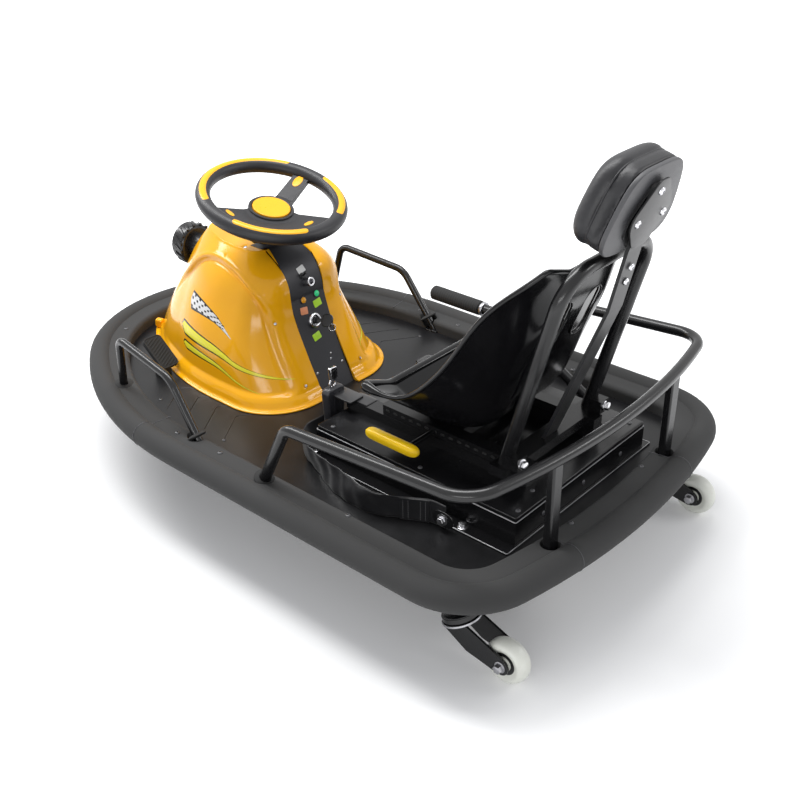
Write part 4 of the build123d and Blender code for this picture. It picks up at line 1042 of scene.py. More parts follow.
@dataclass(frozen=True)
class SteeringWheel:
    """Bright inlays on the rim, ovals on the spoke and the web, and a collar round the hub.

    Args:
        centre: middle of the rim.
        lean: lean of the axis, in radians.
        rim: radius of the rim.
        tube: radius of its tube.
        bands: start and end of each inlay, in degrees.
        ovals: turn in degrees, radius, length and width of each oval.
    """

    centre: tuple = (0.0, -210.0, 532.0)
    lean: float = math.radians(14.6)
    rim: float = 136.0
    tube: float = 14.8
    bands: tuple = ((213.0, 339.0), (117.0, 178.0), (14.0, 76.0))
    ovals: tuple = ((198.0, 108.0, 34.0, 17.0), (351.0, 97.0, 25.0, 13.0), (98.0, 93.0, 25.0, 13.0))

    def axes(self) -> Axes:
        """The wheel's own frame, z along the column."""
        return Axes.facing(self.centre, (0.0, math.sin(self.lean), math.cos(self.lean)))

    def skin(self, turn: Values, across: Values, lift: Values) -> np.ndarray:
        """Point on the rim: angle round the wheel, distance across the tube's top, and height above it."""
        around = math.radians(84.0) + across / self.tube
        radius = self.rim + (self.tube + lift) * np.cos(around)
        return self.axes().at(radius * np.cos(turn), radius * np.sin(turn),
                              (self.tube + lift) * np.sin(around))

    def build(self) -> None:
        """Build the inlays, the ovals and the collar."""
        inlay = Surface("rim_inlays")
        for first, last in self.bands:
            length = math.radians(last - first) * self.rim
            place, reach = stadium(length, 14.0, 60)
            middle = math.radians((first + last) / 2)
            sheet = lambda a, b, h, m=middle: self.skin(m + a / self.rim, -b, h)
            inlay.closed(pillow(sheet, place, reach, 0.5, 0.8))
        inlay.build(YELLOW, Body.STEERING, "cap_yellow", sharp=60.0)
        marks = Surface("spoke_ovals")
        wheel = self.axes()
        for turn, radius, length, width in self.ovals:
            ray = np.array([math.cos(math.radians(turn)), math.sin(math.radians(turn))])
            out = ray[0] * wheel.x + ray[1] * wheel.y
            slope = 23.0 / 81.0
            origin = wheel.at(*(ray * radius), -20.0 + (radius - 55.0) * slope)
            facing = wheel.z - slope * out
            along = out if turn == 198.0 else np.cross(wheel.z, out)
            marks.closed(slab(Axes.facing(origin - 0.4 * facing, facing, along), oval(length, width), 1.4,
                              0.6))
        marks.build(YELLOW, Body.STEERING, "cap_yellow")
        collar = Surface("hub_collar")
        collar.grid(lathe(wheel.lifted(-20.0), (46.0, 45.6, 44.6, 41.5, 40.4, 39.4, 38.6, 38.6),
                          (-0.5, 2.2, 3.1, 3.1, 2.7, 1.6, 0.2, -0.5), 72), wrap_cols=True)
        collar.build(RIM, Body.STEERING, "grip_rubber")
        nut = Surface("column_collar")
        nut.closed(lathe(wheel.lifted(-70.0), (16.2, 21.0, 22.5, 22.5, 21.0, 16.2),
                         (0.0, 0.0, 1.5, 20.0, 21.5, 21.5), 40))
        nut.build(POWDER, Body.STEERING, "frame_black")
        LOG.info("steering wheel dressed")


@dataclass(frozen=True)
class ControlPanel:
    """What stands on the panel: blank tags, lamps, a toggle, the socket's ring, the key and its ring.

    Args:
        rows: y and z of five points up the panel's face.
        tags: place across, height, width, height of the tag, turn in degrees and finish.
        lamps: place across, height and finish.
    """

    rows: tuple = ((-46.5, 165.0), (-94.5, 260.0), (-125.5, 350.0), (-147.5, 412.0), (-189.5, 442.0))
    tags: tuple = (
        (-0.6, 402.3, 20.0, 14.0, 12.0, TAG_WHITE),
        (-21.0, 329.0, 21.0, 15.0, 8.0, TAG_LIME),
        (18.0, 324.5, 19.0, 15.0, -8.0, TAG_CORAL),
        (5.0, 269.5, 21.0, 15.0, 10.0, TAG_LIME),
    )
    lamps: tuple = ((13.6, 345.0, LAMP_AMBER), (-24.0, 347.0, LAMP_GREEN))

    def axes(self, x: float, height: float, turn: float = 0.0) -> Axes:
        """Frame on the face at one height, from the circle through three neighbouring points.

        Args:
            x: place across.
            height: height above the floor.
            turn: turn in the face's plane, in degrees.

        Returns:
            The frame, with z out of the face.
        """
        rows = np.array(self.rows[:3] if height < self.rows[2][1] else self.rows[2:])
        system = np.column_stack([rows, np.ones(3)])
        a, b, _ = np.linalg.solve(system, -(rows**2).sum(1))
        centre = -np.array([a, b]) / 2
        radius = np.linalg.norm(rows[0] - centre)
        sign = 1.0 if rows[1, 0] > centre[0] else -1.0
        y = centre[0] + sign * math.sqrt(radius**2 - (height - centre[1]) ** 2)
        facing = np.array([0.0, y - centre[0], height - centre[1]]) * sign
        spin = math.radians(turn)
        base = Axes.facing((x, y, height), facing, (-1.0, 0.0, 0.0))
        return Axes.facing((x, y, height), facing, math.cos(spin) * base.x + math.sin(spin) * base.y)

    def key(self) -> None:
        """The key switch's bright collar and the key with its bow standing out of it."""
        face = self.axes(0.0, 300.0)
        ring = Surface("key_collar")
        ring.closed(lathe(face, (15.4, 15.4, 14.6, 13.0, 10.2, 9.0, 7.8, 0.1),
                          (-0.6, 4.4, 6.0, 7.0, 7.2, 6.4, 4.2, 4.0), 44))
        ring.build(BRIGHT, Body.CHASSIS, "bright_metal", ("key_switch",))
        barrel = Surface("key_barrel")
        barrel.closed(lathe(face, (7.2, 7.2, 6.4, 0.1), (3.6, 7.6, 8.6, 8.8), 32))
        outward = face.z + 0.45 * face.x - 0.25 * face.y
        sheet = (0.8, 0.3, 0.55)
        stem = Axes.facing(face.at(0, 0, 6.0), sheet, outward)
        barrel.closed(slab(stem.lifted(-1.2), rounded_rectangle(30.0, 7.0, 1.0) + (8.0, 0.0), 2.4, 0.4))
        tilt = Axes.facing(stem.at(25.0, 0.0, 0.0), sheet, outward)
        barrel.closed(slab(tilt.lifted(-3.4), oval(24.0, 27.0, power=2.8), 6.8, 2.4))
        barrel.build(PLASTIC, Body.CHASSIS, "panel_black")
        loop = Surface("key_loop")
        turn = np.linspace(0.0, TAU, 40, endpoint=False)
        hang = Axes.facing(tilt.at(11.0, -8.0, 0.0), (0.5, 0.8, 0.1), tilt.x)
        path = hang.at(7.0 * np.cos(turn), 7.0 * np.sin(turn) - 6.0, 0.0 * turn)
        loop.grid(tube(path, 0.8, hang.z, 10, closed=True), wrap_rows=True, wrap_cols=True)
        loop.build(BRIGHT, Body.CHASSIS, "bright_metal")

    def cap(self) -> None:
        """The black strip that carries the panel over the cowl's top as far as the column's hole."""
        x = np.linspace(-46.9, 46.9, 43)
        end = -232.0 + np.sqrt(np.maximum(31.0**2 - x**2, 0.0))
        share = np.linspace(0.0, 1.0, 14)[None]
        y = -188.6 + (end[:, None] + 188.6) * share
        high = 441.6 + 3.6 * smooth(share / 0.35) + 0.0 * y
        upper = np.stack([x[:, None] + 0.0 * y, y, high], -1)
        lower = upper[:, ::-1] - (0.0, 0.0, 6.0)
        strip = Surface("panel_cap").closed(np.concatenate([upper, lower], axis=1))
        strip.build(PANEL, Body.CHASSIS, "panel_black", sharp=50.0)

    def build(self) -> None:
        """Build everything on the panel."""
        for number, (x, height, width, tall, turn, finish) in enumerate(self.tags):
            tag = Surface(f"panel_tag_{number}")
            tag.closed(slab(self.axes(x, height, turn).lifted(-0.2), rounded_rectangle(width, tall, 2.0), 0.9,
                            0.25))
            tag.build(finish, Body.CHASSIS, "panel_black")
        for number, (x, height, finish) in enumerate(self.lamps):
            face = self.axes(x, height)
            bulb = Surface("amber_lamp" if finish is LAMP_AMBER else "green_lamp")
            turn = np.linspace(0.0, math.pi / 2 - 0.02, 8)
            bulb.closed(lathe(face, np.concatenate([[6.3, 6.3], 6.2 * np.cos(turn)]),
                              np.concatenate([[-0.5, 1.8], 1.9 + 3.0 * np.sin(turn)]), 32))
            bulb.build(finish, Body.CHASSIS, "lamp_clear", ("indicator_lamps",) if number == 0 else ())
        rings = Surface("lamp_rings")
        for x, height, _ in self.lamps:
            rings.closed(lathe(self.axes(x, height), (8.0, 8.0, 7.5, 6.5, 6.3), (-0.4, 1.4, 2.0, 2.0, 0.2),
                               32))
        rings.build(PANEL, Body.CHASSIS, "panel_black")
        switch = Surface("toggle_switch")
        face = self.axes(3.0, 391.0)
        switch.closed(lathe(face, (6.6, 6.6, 5.6, 3.4, 3.4, 0.1), (-0.4, 1.8, 2.6, 2.6, 5.0, 5.4), 28))
        lever = Axes.facing(face.at(0, 0, 4.0), face.z + 0.5 * face.y)
        switch.closed(lathe(lever, (1.6, 1.8, 2.4, 2.6, 1.9, 0.1), (-1.0, 4.0, 9.5, 11.5, 13.2, 13.8), 20))
        switch.build(PLASTIC, Body.CHASSIS, "panel_black")
        socket = Surface("socket_ring")
        face = self.axes(-4.0, 378.0)
        socket.grid(lathe(face, (9.1, 9.3, 8.9, 7.6, 6.0, 5.6, 5.5),
                          (12.6, 13.6, 14.6, 15.0, 14.6, 13.8, 11.0), 36), wrap_cols=True)
        socket.build(BRIGHT, Body.CHASSIS, "bright_metal")
        screws = Surface("panel_screws")
        for x, height, radius in ((-15.0, 229.0, 2.4), (-10.5, 220.0, 2.4), (36.0, 206.0, 3.2),
                                  (-36.0, 206.0, 3.2)):
            dome_screw(screws, self.axes(x, height), radius)
        screws.build(ZINC, Body.CHASSIS, "bright_metal")
        self.cap()
        self.key()
        LOG.info("panel built")


@dataclass(frozen=True)
class Headlight:
    """Round lamp on the nose: ribbed rim, bright bowl with emitters and a domed lens.

    Args:
        back: place of the housing's back on the nose.
        radius: radius of the housing.
        depth: depth of the housing.
        ribs: number of ribs round the rim.
    """

    back: tuple = (0.0, -463.0, 373.0)
    radius: float = 43.0
    depth: float = 34.0
    ribs: int = 15

    def build(self) -> None:
        """Build the ribs, bezel, bowl, emitters and lens."""
        face = Axes.facing(self.back, (0.0, -1.0, 0.0))
        fins = Surface("headlight_ribs")
        for number in range(self.ribs):
            middle = TAU * number / self.ribs

            def sheet(a: Values, b: Values, h: Values) -> np.ndarray:
                """Point on the housing's side, along one slanted rib."""
                around = middle + (b + 0.55 * a) / self.radius
                return face.at((self.radius + h) * np.cos(around), (self.radius + h) * np.sin(around),
                               14.5 + a)

            place, reach = stadium(27.0, 9.5, 16)
            fins.closed(pillow(sheet, place, reach, 3.2, 0.8, 8))
        fins.build(LIGHT_SHELL, Body.CHASSIS, "light_black")
        bezel = Surface("headlight_bezel")
        top = self.depth
        bezel.grid(lathe(face, (37.6, 39.0, 40.4, 42.0, 42.6, 41.8, 38.0, 37.0),
                         (top - 3, top + 1.2, top + 2.4, top + 2.0, top - 0.5, top - 6, top - 7, top - 5),
                         64), wrap_rows=True, wrap_cols=True)
        bezel.build(LIGHT_SHELL, Body.CHASSIS, "light_black")
        turn = np.linspace(0.0, math.pi / 2 - 0.01, 9)
        lens = Surface("headlight_glass")
        lens.closed(lathe(face, np.concatenate([[38.0, 38.0], 37.8 * np.cos(turn)]),
                          np.concatenate([[top - 5.5, top - 3.5], top - 3.4 + 5.0 * np.sin(turn)]), 56))
        lens.build(LENS, Body.CHASSIS, "light_lens", ("headlight_lens",))
        bowls = Surface("headlight_bowls")
        chips = Surface("headlight_emitters")
        turns = [TAU * k / 6 for k in range(6)]
        spots = [(0.0, 0.0)] + [(24.0 * math.cos(a), 24.0 * math.sin(a)) for a in turns]
        for x, y in spots:
            cup = Axes(face.at(x, y, top - 9.5), face.x, face.y, face.z)
            bowls.closed(lathe(cup, (11.4, 11.4, 10.6, 7.6, 4.4, 0.1), (-0.4, 3.4, 3.4, 1.6, 0.5, 0.4), 28))
            chips.closed(slab(cup.lifted(0.3), rounded_rectangle(4.6, 4.6, 0.6, 4), 0.9, 0.2))
        bowls.build(BRIGHT, Body.CHASSIS, "bright_metal")
        chips.build(CHIP, Body.CHASSIS, "light_lens")
        LOG.info("headlight built")


@dataclass(frozen=True)
class Pedals:
    """Slanting ribs and a rim on each foot pedal, with the return spring's pin.

    Args:
        centre: middle of the left pad.
        facing: direction that the pad faces.
        width: width of the pad.
        length: length of the pad.
        sheet: thickness of the pad.
    """

    centre: tuple = (187.0, -388.0, 205.0)
    facing: tuple = (0.0, 0.62, 0.785)
    width: float = 44.0
    length: float = 78.0
    sheet: float = 8.0

    def build(self) -> None:
        """Build the ribs of both pads."""
        ribs = Surface("pedal_ribs")
        slope = 0.5
        for side in (1, -1):
            pad = Axes.facing((side * self.centre[0], *self.centre[1:]), self.facing).lifted(self.sheet)
            for number in range(13):
                shift = -40.0 + 80.0 * number / 12
                x = np.linspace(-self.width / 2 + 4, self.width / 2 - 4, 60)
                x = x[np.abs(shift + side * slope * x) < self.length / 2 - 4]
                if len(x) < 8:
                    continue
                place = np.linspace(x[0], x[-1], 12)
                sheet = lambda a, b, h, s=shift, k=side: pad.at(a, s + k * slope * a + b, h)
                ribs.closed(pillow(sheet, place, np.full(12, 1.5), 1.4, 0.5, 6))
            frame_line = rounded_rectangle(self.width - 2.4, self.length - 2.4, 7.0)
            path = pad.at(frame_line[:, 0], frame_line[:, 1], 0.0)
            ribs.grid(tube(path, 1.1, pad.z, 8, closed=True), wrap_rows=True, wrap_cols=True)
        ribs.build(PEDAL, Body.CHASSIS, "pedal_rubber", sharp=60.0)
        pins = Surface("pedal_pins")
        for side in (1, -1):
            x = side * (self.centre[0] + 4)
            path = np.linspace((x - 14.0, -378.0, 190.0), (x + 14.0, -378.0, 190.0), 4)
            pins.closed(tube(path, 3.0, (0.0, 0.0, 1.0), 16))
        pins.build(ZINC, Body.CHASSIS, "bright_metal")
        LOG.info("pedals built")


@dataclass(frozen=True)
class SeatShell:
    """Rolled lip round the bucket, bright rims of the oval holes, and the moulded lines of the near wing.

    Args:
        rows: centre y and z, rim y and z, rim half width, floor half width and corner radius of each section.
        wall: thickness of the shell.
        lip: radius of the rolled lip.
    """

    rows: tuple = (
        (200.0, 312.0, 200.0, 340.0, 188.0, 120.0, 24.0),
        (250.0, 278.0, 245.0, 338.0, 191.0, 110.0, 36.0),
        (330.0, 267.0, 300.0, 352.0, 192.0, 100.0, 48.0),
        (402.0, 292.0, 352.0, 396.0, 190.0, 95.0, 52.0),
        (450.0, 372.0, 398.0, 458.0, 184.0, 95.0, 50.0),
        (487.0, 468.0, 446.0, 536.0, 172.0, 92.0, 44.0),
        (516.0, 545.0, 500.0, 592.0, 150.0, 80.0, 30.0),
        (534.0, 604.0, 530.0, 622.0, 128.0, 70.0, 14.0),
    )
    wall: float = 5.0
    lip: float = 4.6

    def skin(self, along: Values, across: Values, lift: Values) -> np.ndarray:
        """Point on the outside of the bucket.

        Args:
            along: section number, from 0 at the front to 7 at the top.
            across: -1 at the right rim, 0 on the centre line, 1 at the left rim.
            lift: height above the outside; less than minus the wall is inside the bucket.

        Returns:
            The points: a flat floor, a quarter arc at each side and a straight flank.
        """
        along, across, lift = np.broadcast_arrays(along, across, lift)
        table = np.array(self.rows)
        knots = np.arange(len(table), dtype=float)
        cy, cz, ry, rz, rim, floor, corner = (spline(np.clip(along, 0, 7), knots, table[:, k])
                                              for k in range(7))
        depth = np.hypot(ry - cy, rz - cz)
        up = np.stack([(ry - cy) / depth, (rz - cz) / depth], -1)
        lean = np.arctan2(depth, rim - floor)
        cut = corner * np.tan(lean / 2)
        flat, arc = floor - cut, corner * lean
        flank = np.hypot(rim - floor, depth) - cut
        run = np.abs(across) * (flat + arc + flank)
        turn = np.clip((run - flat) / corner, 0.0, lean)
        rest = np.maximum(run - flat - arc, 0.0)
        x = np.minimum(run, flat) + corner * np.sin(turn) + rest * np.cos(lean) + lift * np.sin(turn)
        rise = corner * (1 - np.cos(turn)) + rest * np.sin(lean) - lift * np.cos(turn)
        return np.stack([np.where(across < 0, -x, x), cy + rise * up[..., 0], cz + rise * up[..., 1]], -1)

    def build(self) -> None:
        """Build the lip, the ovals' rims and the wing's lines."""
        middle = -self.wall / 2
        left = self.skin(np.linspace(0.0, 7.0, 90), 1.0, middle)
        top = self.skin(7.0, np.linspace(1.0, -1.0, 60)[1:-1], middle)
        right = self.skin(np.linspace(7.0, 0.0, 90), -1.0, middle)
        front = self.skin(0.0, np.linspace(-1.0, 1.0, 60)[1:-1], middle)
        path = np.concatenate([left, top, right, front])
        for _ in range(3):
            path = 0.25 * np.roll(path, 1, 0) + 0.5 * path + 0.25 * np.roll(path, -1, 0)
        lip = Surface("seat_lip")
        middle_line = np.array([0.0, 380.0, 420.0])
        ahead = np.roll(path, -1, 0) - np.roll(path, 1, 0)
        ahead = ahead / np.linalg.norm(ahead, axis=1, keepdims=True)
        out = path - middle_line
        out = out - ahead * (out * ahead).sum(1, keepdims=True)
        out = out / np.linalg.norm(out, axis=1, keepdims=True)
        other = np.cross(ahead, out)
        angle = np.linspace(0.0, TAU, 14, endpoint=False)[None, :, None]
        front = smooth((262.0 - path[:, 1]) / 60.0)
        radius = (self.lip + 5.0 * front)[:, None, None]
        ring = path[:, None] + radius * (np.cos(angle) * out[:, None] + np.sin(angle) * other[:, None])
        ring[..., 1] += (5.0 * front)[:, None]
        lip.grid(ring, wrap_rows=True, wrap_cols=True)
        lip.build(SEAT, Body.SEAT, "seat_black")
        rims = Surface("seat_hole_rims")
        table = np.array(self.rows)
        for side in (1, -1):
            for inset in (0.0, self.wall):
                half = 23.0
                turn = np.linspace(0.0, TAU, 72, endpoint=False)
                x = side * 42.0 + half * np.cos(turn)
                up = np.sin(turn)
                z = 492.0 + half * up + 25.0 * np.sign(up) * smooth(np.abs(up) * 6.0)
                y = spline(z, table[3:, 1], table[3:, 0]) - inset * 1.05
                rims.grid(tube(np.stack([x, y, z], -1), 1.9, (0.0, 1.0, 0.25), 10, closed=True),
                          wrap_rows=True, wrap_cols=True)
        rims.build(SEAT, Body.SEAT, "seat_black")
        lines = Surface("seat_wing_lines")
        inside = -self.wall
        for side in (1, -1):
            at = np.linspace(0.25, 6.4, 70)
            mark = side * (0.88 - 0.06 * at / 6.4)
            sheet = lambda a, b, h, m=mark: self.skin(a, m[:, None] + b / 250.0, inside - h)
            lines.closed(pillow(sheet, at, np.full(70, 2.0), 1.1, 0.6, 7))
            at = np.linspace(0.05, 1.0, 30)
            mark = side * (0.80 - 0.30 * np.sin(at * 1.5))
            sheet = lambda a, b, h, m=mark: self.skin(a, m[:, None] + b / 250.0, inside - h)
            lines.closed(pillow(sheet, at, np.full(30, 3.2), 2.0, 0.6, 9))
            sheet = lambda a, b, h, s=side: self.skin(1.3 + b / 60.0, s * (0.42 + a / 300.0), inside - h)
            place, reach = stadium(44.0, 26.0, 30)
            ring = sheet(place[:, None], reach[:, None], np.zeros((30, 1)))[:, 0]
            back = sheet(place[::-1, None], -reach[::-1, None], np.zeros((30, 1)))[:, 0]
            loop = np.concatenate([ring, back])
            lines.grid(tube(loop, 1.4, (0.0, 0.1, 1.0), 10, closed=True), wrap_rows=True, wrap_cols=True)
            at = np.linspace(2.1, 3.6, 40)
            mark = side * (0.10 + 0.50 * (at - 2.1) / 1.5)
            sheet = lambda a, b, h, m=mark: self.skin(a, m[:, None] + b / 250.0, h)
            lines.closed(pillow(sheet, at, np.full(40, 3.0), 1.8, 0.6, 9))
        across = np.linspace(-0.95, 0.95, 80)
        run = np.linspace(0.0, 1.0, 22)
        high = 15.0 * np.sqrt(run) * (1.0 - run) ** 1.1 * 2.2
        place = np.concatenate([run, run[::-1]])
        fade = (1.0 - (across[:, None] / 0.951) ** 4)
        rise = np.concatenate([high * fade, np.full((80, 22), -0.6)], axis=1)
        lines.closed(self.skin(0.02 + 1.25 * place[None], across[:, None], inside - rise))
        lines.build(SEAT, Body.SEAT, "seat_black")
        bolts = Surface("seat_bolts")
        for x in (-40.0, 40.0):
            for along in (1.35, 2.6):
                spot = self.skin(along, x / 330.0, inside)
                dome_screw(bolts, Axes.facing(spot, (0.0, -0.05, 1.0)), 7.0)
        bolts.build(ZINC, Body.SEAT, "bright_metal")
        LOG.info("seat dressed")


@dataclass(frozen=True)
class Headrest:
    """The stitched pad with a hollow in each side, its welt, board and plate, and bolts on the plate.

    Args:
        origin: middle of the plate's rear face.
        lean: lean of the plate, in radians.
        width: width of the pad.
        height: height of the pad.
        depth: distances of the pad's back and front from the plate.
    """

    origin: tuple = (0.0, 611.0, 705.0)
    lean: float = math.radians(17.0)
    width: float = 204.0
    height: float = 152.0
    depth: tuple = (8.6, 70.0)

    def axes(self) -> Axes:
        """The plate's frame: x to the driver's right, y up and z rearwards."""
        return Axes.facing(self.origin, (0.0, math.cos(self.lean), -math.sin(self.lean)), (-1.0, 0.0, 0.0))

    def outline(self, width: float, height: float, steps: int = 88) -> np.ndarray:
        """The headrest's outline: a superellipse whose upper half narrows."""
        points = oval(width, height, steps, 4.2)
        points[:, 0] *= 1.0 - 0.24 * smooth((points[:, 1] + 40.0) / 125.0)
        return points

    def rings(self) -> np.ndarray:
        """Rings of the pad, from back to front: the outline swells past a seam and rounds over in front.

        The sides have a long hollow whose depth fades towards its oval edge.

        Returns:
            Points for a closed grid.
        """
        share = np.linspace(0.0, 1.0, 30)
        near, far = self.depth
        depth = near + (far - near) * share
        seam = np.exp(-(((depth - 33.0) / 3.0) ** 2)) * 3.4
        swell = np.where(depth > 33.0, 2.5 * np.sin(np.clip((depth - 33.0) / 22.0, 0, 1) * math.pi / 2), 0.0)
        over = np.clip((depth - 38.0) / (far - 38.0), 0.0, 0.999)
        inset = 5.0 + seam - swell + 30.0 * (1.0 - np.sqrt(1.0 - over**2.1))
        base = self.outline(self.width - 2.0, self.height - 2.0)
        centre = self.axes()
        points = []
        half = np.array([self.width, self.height]) / 2
        for deep, back in zip(depth, inset):
            scale = (half - 1.0 - back) / (half - 1.0)
            outline = base * scale
            hollow = 7.5 * smooth(1.5 - np.hypot((deep - 21.0) / 11.0, outline[:, 1] / 36.0) * 1.1)
            flank = smooth((np.abs(outline[:, 0]) - 0.34 * self.width) / 10.0)
            outline = outline - np.stack([np.sign(outline[:, 0]) * hollow * flank, 0.0 * hollow], -1)
            points.append(centre.at(outline[:, 0], outline[:, 1] + 5.0, -deep))
        for scale in (0.75, 0.5, 0.25, 0.02):
            outline = base * (half - 36.0) / half
            points.append(centre.at(outline[:, 0] * scale, outline[:, 1] * scale + 5.0,
                                    -far - 2.2 * (1 - scale**2)))
        return np.stack(points)

    def pad(self) -> None:
        """Make the pad, let its cover settle under inner pressure and smooth it once."""
        surface = Surface("headrest_cushion").closed(self.rings())
        piece = surface.build(VINYL, Body.SEAT, "pad_black", ("headrest_pad",), sharp=80.0)
        remesh = piece.modifiers.new("remesh", "REMESH")
        remesh.mode = "VOXEL"
        remesh.voxel_size = 0.004
        self.apply(piece)
        axes = self.axes()
        count = len(piece.data.vertices)
        place = np.empty(count * 3)
        piece.data.vertices.foreach_get("co", place)
        depth = (place.reshape(-1, 3) / MM - axes.origin) @ axes.z
        held = piece.vertex_groups.new(name="held")
        held.add(np.nonzero(depth > -13.0)[0].tolist(), 1.0, "REPLACE")
        cloth = piece.modifiers.new("cloth", "CLOTH")
        settings = cloth.settings
        settings.quality = 6
        settings.mass = 0.4
        settings.use_pressure = True
        settings.uniform_pressure_force = 3.0
        settings.tension_stiffness = 40.0
        settings.compression_stiffness = 40.0
        settings.shear_stiffness = 20.0
        settings.bending_stiffness = 8.0
        settings.vertex_group_mass = "held"
        settings.effector_weights.gravity = 0.0
        cloth.point_cache.frame_start = 1
        cloth.point_cache.frame_end = 16
        for number in range(1, 17):
            bpy.context.scene.frame_set(number)
        self.apply(piece)
        bpy.context.scene.frame_set(1)
        polish = piece.modifiers.new("polish", "SUBSURF")
        polish.levels = 1
        polish.render_levels = 1
        piece.data.shade_smooth()
        piece.data.materials.clear()
        piece.data.materials.append(VINYL.material())

    @staticmethod
    def apply(piece: bpy.types.Object) -> None:
        """Turn the modified shape into the piece's own mesh."""
        graph = bpy.context.evaluated_depsgraph_get()
        shape = bpy.data.meshes.new_from_object(piece.evaluated_get(graph))
        piece.modifiers.clear()
        piece.data = shape

    def build(self) -> None:
        """Build the pad, its welt, the board, the plate and the bolts."""
        self.pad()
        axes = self.axes()
        welt = Surface("headrest_welt")
        line = self.outline(self.width - 16.0, self.height - 16.0)
        path = axes.at(line[:, 0], line[:, 1] + 5.0, -33.0)
        welt.grid(tube(path, 1.7, axes.z, 10, closed=True), wrap_rows=True, wrap_cols=True)
        welt.build(VINYL, Body.SEAT, "pad_black")
        board = Surface("headrest_board")
        board.closed(slab(axes.lifted(-8.0), self.outline(192.0, 142.0) + (0.0, 4.0), 8.0, 2.2))
        board.build(BOARD, Body.SEAT, "head_board", ("headrest_back",), sharp=60.0)
        corners = [(-13.0, 58.0), (13.0, 58.0), (52.0, 6.0), (52.0, -16.0), (20.0, -60.0), (-20.0, -60.0),
                   (-52.0, -16.0), (-52.0, 6.0), (-13.0, 58.0)]
        edge = rounded_path([(0.0, 58.0)] + corners[1:-1] + [corners[0], (0.0, 58.0)], 12.0, 4.0)[:-1]
        plate = Surface("headrest_plate").closed(slab(axes.lifted(8.4), edge, 3.4, 0.9))
        plate.build(BAR_PAINT, Body.SEAT, "frame_black", sharp=60.0)
        bolts = Surface("headrest_bolts")
        for x, y in ((0.0, 38.0), (36.0, -8.0), (-36.0, -8.0)):
            dome_screw(bolts, Axes(axes.at(x, y, 11.8), axes.x, axes.y, axes.z), 7.0)
        for y, z, facing in ((596.5, 609.0, (0.0, 0.98, -0.22)), (589.6, 583.0, (0.0, 0.96, -0.27))):
            dome_screw(bolts, Axes.facing((0.0, y, z), facing), 6.4)
        bolts.build(BRIGHT, Body.SEAT, "bright_metal")
        LOG.info("headrest built")


